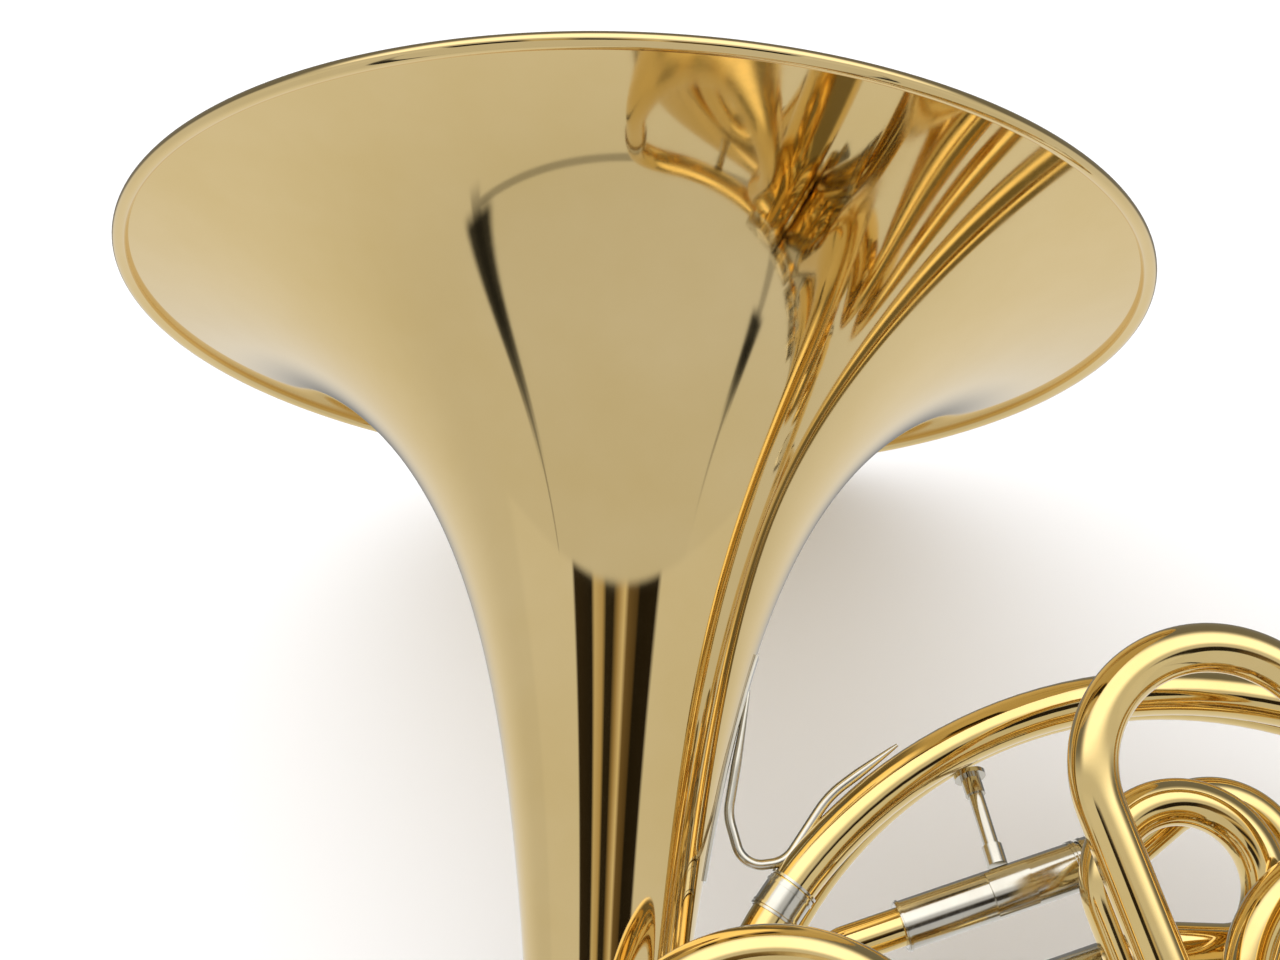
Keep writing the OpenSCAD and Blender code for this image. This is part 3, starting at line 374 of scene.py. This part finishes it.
bell = {"x": -166, "rim": 155.5, "height": 256, "wall": 0.6, "bead": 2.1, "shift": 51.93, "power": 1.1648,
    "base": -2.407, "end": 1.1, "segments": 256, "rings": 110, "crowding": 1.6, "beadFrom": -152,
    "beadTurn": 322, "beadSteps": 24}


# Radius of the flare at a distance d behind the rim, and how fast it changes there.
def flareRadius(d):
    return bell["base"] + (bell["rim"] - bell["base"]) * (1 + d / bell["shift"]) ** -bell["power"]


def flareSlope(d):
    return -bell["power"] * (flareRadius(d) - bell["base"]) / (bell["shift"] + d)


def makeBell():
    outer, inner = [], []
    for k in range(bell["rings"] + 1):
        d = bell["end"] + (bell["height"] - bell["end"] - 0.02) * (k / bell["rings"]) ** bell["crowding"]
        s = flareSlope(d)
        length = math.hypot(1, s)
        outer.append((flareRadius(d), bell["height"] - d))
        inner.append((flareRadius(d) - bell["wall"] / length,
            bell["height"] - d - bell["wall"] * s / length))
    # The sheet's outside runs up to the bead, rolls round it and comes back down the inside.
    beadR, beadY = bell["rim"] - bell["bead"], bell["height"] - bell["end"] - 0.1
    bead = []
    for k in range(bell["beadSteps"] + 1):
        a = math.radians(bell["beadFrom"] + bell["beadTurn"] * k / bell["beadSteps"])
        bead.append((beadR + bell["bead"] * math.cos(a), beadY + bell["bead"] * math.sin(a)))
    loop = outer[::-1] + bead + inner
    count = bell["segments"]
    points, faces = [], []
    for k in range(count):
        a = 2 * math.pi * k / count
        points += [place((bell["x"] + r * math.cos(a), y, r * math.sin(a))) for r, y in loop]
    size = len(loop)
    for k in range(count):
        for j in range(size):
            a, b = k * size + j, k * size + (j + 1) % size
            c, d = (k + 1) % count * size + j, (k + 1) % count * size + (j + 1) % size
            faces.append((a, b, d, c))
    data = bpy.data.meshes.new("bell")
    data.from_pydata(points, [], faces)
    shell = bmesh.new()
    shell.from_mesh(data)
    bmesh.ops.recalc_face_normals(shell, faces=shell.faces)
    shell.to_mesh(data)
    shell.free()
    data.materials.append(lacqueredBrass)
    return data


piece("bell", "horn", [makeBell()], ["bell"], edge=55)
print("bell made")

# bell tail, bell branch and their ferrules

tail = {"r": 153.5, "x": -12.5, "rings": 120, "sides": 72, "taper": 1.5}


def tailRadius(t):
    return tube["r"] + (flareRadius(bell["height"]) - tube["r"]) * (1 - t) ** tail["taper"]


tailPath = arcPoints((tail["x"], 0, 0), tail["r"], 180, 360, 180 / tail["rings"])
tailSwell = [tailRadius(k / (len(tailPath) - 1)) / tube["r"] for k in range(len(tailPath))]
tailTube = sweep([tailPath], tube["r"], bell["wall"], lacqueredBrass, sides=tail["sides"], swells=[tailSwell])
piece("bellTail", "horn", [tailTube], ["bell_tail"])

exitX = tube["changeX"] - tube["port"]
diagonal = math.sin(math.radians(45))
turnR = (exitX + tube["circle"] * diagonal) / (1 + diagonal)
turnC = -(tube["circle"] - turnR) * diagonal
branch = arcPoints((0, 0, 0), tube["circle"], 0.02, 225) + arcPoints((turnC, turnC, 0), turnR, 225, 360)[1:]
branch.append((exitX, tube["valveY"] - tube["stub"], 0))
piece("bellBranch", "horn", [brassTube([branch])], ["bell_branch"])

def onCircle(first, last, step):
    return arcPoints((0, 0, 0), tube["circle"], first, last, step)


joinRings = [sweep([onCircle(0.3, 4, 1)], 7.35, 0.8, nickelSilver)]
joinRings += [sweep([onCircle(a, a + 0.25, 0.25) for a in (0.5, 3.5)], 7.55, 0.19, nickelSilver)]
piece("tailFerrule", "horn", joinRings, ["tail_ferrule"])

crook = {"x": -122.5, "y": 15.5, "r": 46, "branchY": -50, "bend": 12.9, "branchBend": 31.5, "branchEnd": 84}
bBranch = {"x": 114, "y": -62, "bends": [0, 15.7, 15.7, 14, 0]}
beads = [onCircle(a, a + 0.3, 0.15) for a in (144.3, 145.2, 147.9, 148.3)]
rings = [sweep([onCircle(144.8, 148, 0.4)], tube["ferrule"], 0.5, nickelSilver),
    sweep(beads, tube["ferrule"] + 0.25, 0.5, nickelSilver)]
for a, b in (((exitX, turnC + 12, 0), (exitX, turnC + 20, 0)),
        ((crook["x"] - crook["r"], -10, tube["high"]), (crook["x"] - crook["r"], -2, tube["high"])),
        ((-20, crook["branchY"], tube["high"]), (-12, crook["branchY"], tube["high"])),
        ((40, bBranch["y"], tube["low"]), (48, bBranch["y"], tube["low"]))):
    rings += ferrule(a, b)
nearY, farY = tube["valveY"] - tube["port"], tube["valveY"] + tube["port"]
for x in (tube["valveX"][0] + tube["halfGap"], tube["valveX"][1] + tube["halfGap"]):
    for z in (tube["low"], tube["high"]):
        rings += ferrule((x - 2, nearY, z), (x + 2, nearY, z))
piece("tubeFerrules", "horn", rings, ["tube_ferrules"])

# main tuning slide and mouthpipe

slope = math.radians(20.3)
mainSlide = {"start": Vector((-85, 72, 0)), "way": Vector((math.cos(slope), math.sin(slope), 0)),
    "side": Vector((math.sin(slope), -math.cos(slope), 0)), "spacing": 27.8, "sleeve": 54, "bow": 62,
    "reach": 89.7, "bulb": 20.3, "turn": 20, "flare": 18, "steps": 88, "second": 26.5, "legs": (17, 32.5)}


def mainAt(s, across):
    return mainSlide["start"] + s * mainSlide["way"] + across * mainSlide["side"]


pipe = {"z": -14, "drop": 10, "start": 55, "rise": 7, "uTurn": 13, "knee": 15, "lead": 47, "kneeBend": 60,
    "climb": (20, 44), "bends": [0, 18, 18, 8, 0]}
startTurn, riseTurn = math.radians(pipe["start"]), math.radians(pipe["rise"])
pipeEnd = Vector((tube["circle"] * math.cos(startTurn), tube["circle"] * math.sin(startTurn), pipe["z"]))
pipeOut = Vector((math.sin(startTurn), -math.cos(startTurn), 0))
pipeUp = math.cos(riseTurn) * pipeOut + Vector((0, 0, math.sin(riseTurn)))
knee = pipeEnd + pipe["knee"] * pipeOut
uTurnX = pipe["drop"] - tube["circle"] + pipe["uTurn"]
riseX = uTurnX + pipe["uTurn"]
corner = Vector((riseX, mainSlide["start"].y + math.tan(slope) * (riseX - mainSlide["start"].x), 0))
lead = bentPath([knee + pipe["lead"] * pipeUp, knee, pipeEnd], [0, pipe["kneeBend"], 0])
lead += arcPoints((0, 0, pipe["z"]), tube["circle"], pipe["start"], 90)[1:]
lead += arcPoints((0, pipe["drop"], pipe["z"]), tube["circle"] - pipe["drop"], 90, 180)[1:]
lead += arcPoints((uTurnX, pipe["drop"], pipe["z"]), pipe["uTurn"], 180, 360)[1:]
lead += bentPath([(riseX, pipe["drop"] + 0.01, pipe["z"]), (riseX, pipe["climb"][0], pipe["z"]),
    (riseX, pipe["climb"][1], 0), corner, mainAt(9, 0)], pipe["bends"])
leadPipe = sweep([lead], tube["pipe"], tube["wall"], drawnBrass)
piece("mouthpipe", "horn", [leadPipe], ["mouthpipe"])

secondLeg = mainAt(0, mainSlide["spacing"])
mainExit = (exitX, secondLeg.y + math.tan(slope) * (exitX - secondLeg.x), 0)
sleeves = ringed(mainAt(0.1, 0), mainAt(mainSlide["sleeve"], 0), bothEnds=True)
sleeves += ringed(mainAt(mainSlide["second"], mainSlide["spacing"]),
    mainAt(mainSlide["sleeve"], mainSlide["spacing"]))
sleeves.append(sweep([(mainAt(0.1, 0), mainAt(9.9, 0))], 6.6, 1.18, nickelSilver))
sleeves.append(brassTube([bentPath([(exitX, tube["valveY"] + tube["stub"], 0), mainExit,
    mainAt(mainSlide["second"], mainSlide["spacing"])], [0, 10, 0])]))
piece("mainSlideSleeves", "horn", sleeves, ["main_slide_sleeves"])


# Two legs that leave their ferrules, flare out and meet in a round bulb. base is the middle of the
# legs at the bulb's centre, way points from the legs to the bulb and aside across it.
def bulbPath(base, way, aside, half, radius, start):
    turn = math.radians(mainSlide["turn"])
    low = radius * math.sin(turn)
    flare = low + (radius * math.cos(turn) - half) / math.tan(turn)
    legs = [bentPath([base - start * way + s * half * aside, base - flare * way + s * half * aside,
        base - low * way + s * radius * math.cos(turn) * aside], [0, mainSlide["flare"], 0]) for s in (-1, 1)]
    count = mainSlide["steps"]
    ring = [base + radius * (math.cos(a) * aside + math.sin(a) * way)
        for a in (math.pi + turn - (math.pi + 2 * turn) * k / count for k in range(count + 1))]
    return legs[0][:-1] + [tuple(p) for p in ring] + legs[1][::-1][1:]


half = mainSlide["spacing"] / 2
bulbMid = mainAt(mainSlide["reach"], half)
bow = bulbPath(bulbMid, mainSlide["way"], mainSlide["side"], half, mainSlide["bulb"],
    mainSlide["reach"] - mainSlide["bow"])
slideParts = [brassTube([bow])]
for legStart, s in zip(mainSlide["legs"], (0, mainSlide["spacing"])):
    slideParts.append(slideLeg(mainAt(legStart, s), mainAt(mainSlide["bow"], s)))
    slideParts += ferrule(mainAt(mainSlide["bow"] - 7, s), mainAt(mainSlide["bow"], s))
piece("mainSlide", "main_slide", slideParts, ["main_slide"])
print("main slide made")

# valve slides

slides = {"sleeve": ((32, 37), (17, 16), (50, 38)), "bulb": {"f1": (110, 32.5), "b1": (85, 22)},
    "bow": {"f3": 92, "b3": 66}, "ferrule": (1, 6), "dip": {"z": 34.5, "r": 34, "y": 57, "turn": 15}}
stubTop = tube["valveY"] + tube["stub"]
way, aside = Vector((0, 1, 0)), Vector((1, 0, 0))


def slideLegs(x, z, length):
    parts = []
    low, high = [stubTop + length + d for d in slides["ferrule"]]
    for legX in (x - tube["port"], x + tube["port"]):
        parts.append(slideLeg((legX, stubTop + 3, z), (legX, high, z)))
        parts += ferrule((legX, low, z), (legX, high, z))
    return parts


decks = (("f", tube["high"]), ("b", tube["low"]))  # the F slides stand above the B flat slides
for number in range(3):
    x = tube["valveX"][number]
    lengths = dict(zip("fb", slides["sleeve"][number]))
    parts = []
    for key, z in decks:
        for legX in (x - tube["port"], x + tube["port"]):
            parts += ringed((legX, stubTop + 0.01, z), (legX, stubTop + lengths[key], z))
    piece(f"slideSleeves{number + 1}", "horn", parts, [f"slide_sleeves_{number + 1}"])
    for deck, z in decks:
        key = f"{deck}{number + 1}"
        start = stubTop + lengths[deck] + slides["ferrule"][1]
        if key in slides["bulb"]:
            y, r = slides["bulb"][key]
            path = bulbPath(Vector((x, y, z)), way, aside, tube["port"], r, y - start)
        elif key == "f2":
            dip = slides["dip"]
            t = math.radians(dip["turn"])
            tip = (dip["r"] * math.cos(t), dip["y"] - dip["r"] * math.sin(t))
            down = [(tube["port"], start, z), (tube["port"], start + 9.5, z),
                (tip[0] - 12 * math.sin(t), tip[1] - 12 * math.cos(t), dip["z"]), (tip[0], tip[1], dip["z"])]
            legs = [bentPath([(x + s * a, b, c) for a, b, c in down], [0, 10, 10, 0]) for s in (-1, 1)]
            turnRound = arcPoints((x, dip["y"], dip["z"]), dip["r"], 180 + dip["turn"], -dip["turn"])
            path = legs[0][:-1] + turnRound + legs[1][::-1][1:]
        else:
            y = slides["bow"].get(key, start + 2)  # the second B flat slide has the shortest bow
            path = [(x - tube["port"], start, z)] + arcPoints((x, y, z), tube["port"], 180, 0, 5)
            path.append((x + tube["port"], start, z))
        body = f"{deck}_slide_{number + 1}"
        parts = [brassTube([path])] + slideLegs(x, z, lengths[deck])
        piece(f"{deck}Slide{number + 1}", body, parts, [body])
print("valve slides made")

# crook, branches and F tuning slide

left, right = crook["x"] - crook["r"], crook["x"] + crook["r"]
high, low = tube["high"], tube["low"]
path = [(left, -6.05, high)] + arcPoints((crook["x"], crook["y"], high), crook["r"], 180, 0)
path += bentPath([(right, crook["y"] - 0.01, high), (right, farY, high),
    (tube["changeX"] - 15.4, farY, high)], [0, crook["bend"], 0])
piece("fCrook", "horn", [brassTube([path])], ["f_crook"])
path = bentPath([(left, -6.1, high), (left, crook["branchY"], high),
    (crook["branchEnd"], crook["branchY"], high)], [0, crook["branchBend"], 0])
piece("fBranch", "horn", [brassTube([path])], ["f_branch"])
portX = tube["valveX"][2] + tube["stub"]
path = bentPath([(portX, nearY, low), (bBranch["x"], nearY, low), (bBranch["x"], bBranch["y"], low),
    (exitX, bBranch["y"], low), (exitX, tube["valveY"] - tube["stub"], low)], bBranch["bends"])
piece("bBranch", "horn", [brassTube([path])], ["b_branch"])

tuning = {"sleeveEnd": 126, "bow": 136, "ferrule": 130, "stem": 1.6, "knob": 4,
    "knobAlong": (3.9, 4.3, 5.0, 5.7, 6.0), "knobSwell": [0.85, 0.98, 1.0, 0.98, 0.8]}
parts = ringed((portX, farY, high), (tuning["sleeveEnd"], farY, high))
parts += ringed((crook["branchEnd"], crook["branchY"], high), (tuning["sleeveEnd"], crook["branchY"], high))
piece("fTuningSleeves", "horn", parts, ["f_tuning_sleeves"])
bowR = (farY - crook["branchY"]) / 2
bowY = crook["branchY"] + bowR
parts = [brassTube([arcPoints((tuning["bow"] + 0.01, bowY, high), bowR, -90, 90)])]
for y in (farY, crook["branchY"]):
    parts.append(slideLeg((portX + 4, y, high), (tuning["bow"], y, high)))
    parts += ferrule((tuning["ferrule"], y, high), (tuning["bow"], y, high))
knobX = tuning["bow"] + bowR + tube["r"]
stem = [(knobX + 0.05, bowY, high), (knobX + 4, bowY, high)]
parts.append(sweep([stem], tuning["stem"], 0, nickelSilver, sides=32))
knob = [(knobX + x, bowY, high) for x in tuning["knobAlong"]]
parts.append(sweep([knob], tuning["knob"], 0, nickelSilver, swells=[tuning["knobSwell"]]))
piece("fTuningSlide", "f_tuning_slide", parts, ["f_tuning_slide"])
print("branches made")

# bell brace: a rod tapered at both ends, from the leaf on the bell to the branch

brace = {"path": [(-128.2, 137, 0), (-133.5, 101, 0), (-129, 86.5, 0), (-117, 88.5, 0), (-105, 107.5, 0),
    (-85.5, 122.6, 0)], "bends": [0, 14, 7, 9, 30, 0], "r": 1.5, "gap": 1.5, "sides": 32,
    "nearTip": (0.25, 22), "farTip": (0.3, 14), "taper": 0.8}


def resampled(points, gap):
    out = [Vector(points[0])]
    for p, q in zip(points, points[1:]):
        p, q = Vector(p), Vector(q)
        count = max(1, int((q - p).length / gap))
        out += [p.lerp(q, (k + 1) / count) for k in range(count)]
    return out


# How thick the rod is at a distance from one of its tips, as a share of its full radius.
def tipSwell(tip, distance):
    share, reach = tip
    return share + (1 - share) * (max(0, distance) / reach) ** brace["taper"]


rod = resampled(bentPath(brace["path"], brace["bends"]), brace["gap"])
lengths = [0]
for p, q in zip(rod, rod[1:]):
    lengths.append(lengths[-1] + (q - p).length)
swell = [min(1, tipSwell(brace["nearTip"], s), tipSwell(brace["farTip"], lengths[-1] - s)) for s in lengths]
braceRod = sweep([[tuple(p) for p in rod]], brace["r"], 0, nickelSilver, sides=brace["sides"], swells=[swell])
piece("bellBrace", "horn", [braceRod], ["bell_brace"])
print("bell brace made")

# studio: pale floor, even light, and a bright room painted by direction as painted reflections, with darker marks
# that only the polished metal mirrors

floorData = bpy.data.meshes.new("floor")
floorHalf = 6
floorData.from_pydata([(x * floorHalf, y * floorHalf, 0) for x, y in ((-1, -1), (1, -1), (1, 1), (-1, 1))],
    [], [(0, 1, 2, 3)])
floor = bpy.data.objects.new("floor", floorData)
bpy.context.scene.collection.objects.link(floor)
paper = bpy.data.materials.new("matteWhitePaper")
paper.use_nodes = True
paperShader = paper.node_tree.nodes["Principled BSDF"].inputs
paperShader["Base Color"].default_value = hexColour("#fbfafa")
paperShader["Roughness"].default_value = 0.95
paperShader["Specular IOR Level"].default_value = 0.1
floorData.materials.append(paper)
# The floor is kept out of reflections, so the painted reflections of the room show in its place.
floor.visible_glossy = False
bpy.context.scene.view_settings.view_transform = "Standard"


# The room is painted by direction as painted reflections, and only mirror-like reflections see it. Everything else
# is lit by one even tone. The directions are the horn's own, so the painted room stays put when the view changes.
# Strengths of the painted reflections, and the even tone that lights everything else.
reflectionPaintAndEvenLight = {"even": 1.3, "base": 0.66, "down": 0.16, "paintedHighlight": 0.95, "paintedShadeStrength": 0.72, "paintedScreenStrength": 0.03, "gap": 0.95,
    "frame": 0.45}


def evenLightAndPaintedReflections():
    world = bpy.data.worlds.new("evenLightAndPaintedReflections")
    bpy.context.scene.world = world
    world.use_nodes = True
    tree = world.node_tree
    tree.nodes.clear()
    way = addNode(tree, "ShaderNodeTexCoord").outputs["Generated"]

    def calculate(operation, a, b=0.0, c=0.0):
        return addNode(tree, "ShaderNodeMath", {0: a, 1: b, 2: c}, operation=operation).outputs[0]

    def towards(direction):
        return addNode(tree, "ShaderNodeVectorMath",
            {0: way, 1: tuple(direction)}, operation="DOT_PRODUCT").outputs["Value"]

    def step(value, low, high):
        return addNode(tree, "ShaderNodeMapRange", {"Value": value, "From Min": low, "From Max": high},
            interpolation_type="SMOOTHSTEP").outputs[0]

    def opposite(value):
        return calculate("SUBTRACT", 1.0, value)

    def both(*values):
        result = values[0]
        for value in values[1:]:
            result = calculate("MULTIPLY", result, value)
        return result

    x, y, z = towards(across), towards(along), towards(up)
    rear = calculate("MULTIPLY", y, -1.0)
    behind = calculate("MAXIMUM", rear, 0.02)
    u, v = calculate("DIVIDE", x, behind), calculate("DIVIDE", z, behind)
    isBehind = step(rear, 0.05, 0.2)
    # Painted reflection of a slightly darker screen behind the horn, with a painted dark gap along each slanting
    # edge and a thin painted brown frame all round.
    leftEdge = calculate("DIVIDE", calculate("ADD", calculate("MULTIPLY_ADD", v, 0.72, 0.57), u), 1.23)
    rightEdge = calculate("DIVIDE", calculate("SUBTRACT", calculate("MULTIPLY_ADD", v, 0.75, 0.50), u), 1.25)
    paintedScreenMask = both(step(leftEdge, -0.03, 0.05), step(rightEdge, -0.03, 0.05), step(v, -0.26, -0.2), isBehind)

    # A painted dark line in the reflections along one edge of the painted screen, between two heights.
    def gap(edge, wide, low, high, fade):
        line = opposite(step(calculate("ABSOLUTE", edge), wide * 0.5, wide))
        return both(line, step(v, low, low + 0.06), opposite(step(v, high, high + fade)), isBehind)

    paintedGapLines = calculate("ADD", gap(leftEdge, 0.062, -0.25, 0.1, 0.9), gap(rightEdge, 0.05, 0.06, 0.25, 0.4))
    paintedFrameLine = calculate("MAXIMUM",
        gap(leftEdge, 0.02, -0.3, 1.2, 0.8), gap(rightEdge, 0.02, -0.3, 0.6, 0.8))
    sillHeight = calculate("ABSOLUTE", calculate("ADD", v, 0.235))
    paintedSill = both(opposite(step(sillHeight, 0.006, 0.016)), step(leftEdge, -0.02, 0.0),
        step(rightEdge, -0.02, 0.0), isBehind)
    paintedFrameLine = both(calculate("MAXIMUM", paintedFrameLine, paintedSill), reflectionPaintAndEvenLight["frame"])
    # Painted reflection of a dark stand overhead, with brighter slots between its parts.
    flat = calculate("DIVIDE", x, calculate("MAXIMUM", z, 0.05))
    height = calculate("ARCSINE", rear)
    acrossStand = addNode(tree, "ShaderNodeMapRange",
        {"Value": flat, "From Min": -0.8, "From Max": 0.65}).outputs[0]
    # The painted browns and pale slots of the stand's reflection, across its width.
    paintedStandBands = ((0.0, "#dadada"), (0.04, "#30281c"), (0.25, "#241f18"), (0.29, "#cdbf9f"), (0.37, "#b9a67e"),
        (0.41, "#2e281e"), (0.48, "#2a241b"), (0.53, "#a08c66"), (0.59, "#dccfb2"), (0.63, "#6e5c3e"),
        (0.71, "#57482f"), (0.74, "#211c14"), (0.92, "#262018"), (0.97, "#dadada"))
    paintedStandReflection = ramp(tree, acrossStand, [(at, hexColour(colour)) for at, colour in paintedStandBands])
    paintedStandMask = both(step(height, 0.05, 0.15), opposite(step(height, 0.405, 0.43)), step(z, 0.1, 0.2))
    # Brightness of the painted room: a painted highlight high up beyond the bell's mouth, painted shade low down
    # there, and painted reflections a little brighter from below.
    down = both(step(calculate("MULTIPLY", z, -1.0), 0.1, 0.9), reflectionPaintAndEvenLight["down"])
    paintedHighlight = both(step(y, 0.05, 0.3), step(z, 0.35, 0.65), reflectionPaintAndEvenLight["paintedHighlight"])
    paintedShadeBeneath = both(step(y, 0.0, 0.3), opposite(step(z, 0.2, 0.5)), reflectionPaintAndEvenLight["paintedShadeStrength"])
    paintedGapShade = calculate("MINIMUM", both(paintedGapLines, reflectionPaintAndEvenLight["gap"]), reflectionPaintAndEvenLight["gap"])
    paintedReflectionLevel = calculate("ADD", reflectionPaintAndEvenLight["base"], calculate("ADD", down, paintedHighlight))
    paintedReflectionLevel = both(paintedReflectionLevel, opposite(paintedShadeBeneath), opposite(both(paintedScreenMask, reflectionPaintAndEvenLight["paintedScreenStrength"])), opposite(paintedGapShade),
        opposite(paintedFrameLine))
    # The painted reflection colour: grey levels, with the painted stand overhead.
    grey = addNode(tree, "ShaderNodeCombineColor", {0: paintedReflectionLevel, 1: paintedReflectionLevel, 2: paintedReflectionLevel}).outputs[0]
    paintedReflectionColour = addNode(tree, "ShaderNodeMix", {0: paintedStandMask, 6: grey, 7: paintedStandReflection}, data_type="RGBA").outputs[2]
    # Mirror rays see the painted reflections. Every other ray sees the even tone.
    mirrored = addNode(tree, "ShaderNodeLightPath").outputs["Is Glossy Ray"]
    evenTone = (reflectionPaintAndEvenLight["even"],) * 3 + (1,)
    tone = addNode(tree, "ShaderNodeMix", {0: mirrored, 6: evenTone, 7: paintedReflectionColour}, data_type="RGBA").outputs[2]
    light = addNode(tree, "ShaderNodeBackground", {"Color": tone, "Strength": 1.0})
    addNode(tree, "ShaderNodeOutputWorld", {"Surface": light.outputs[0]})


evenLightAndPaintedReflections()
print("studio made")
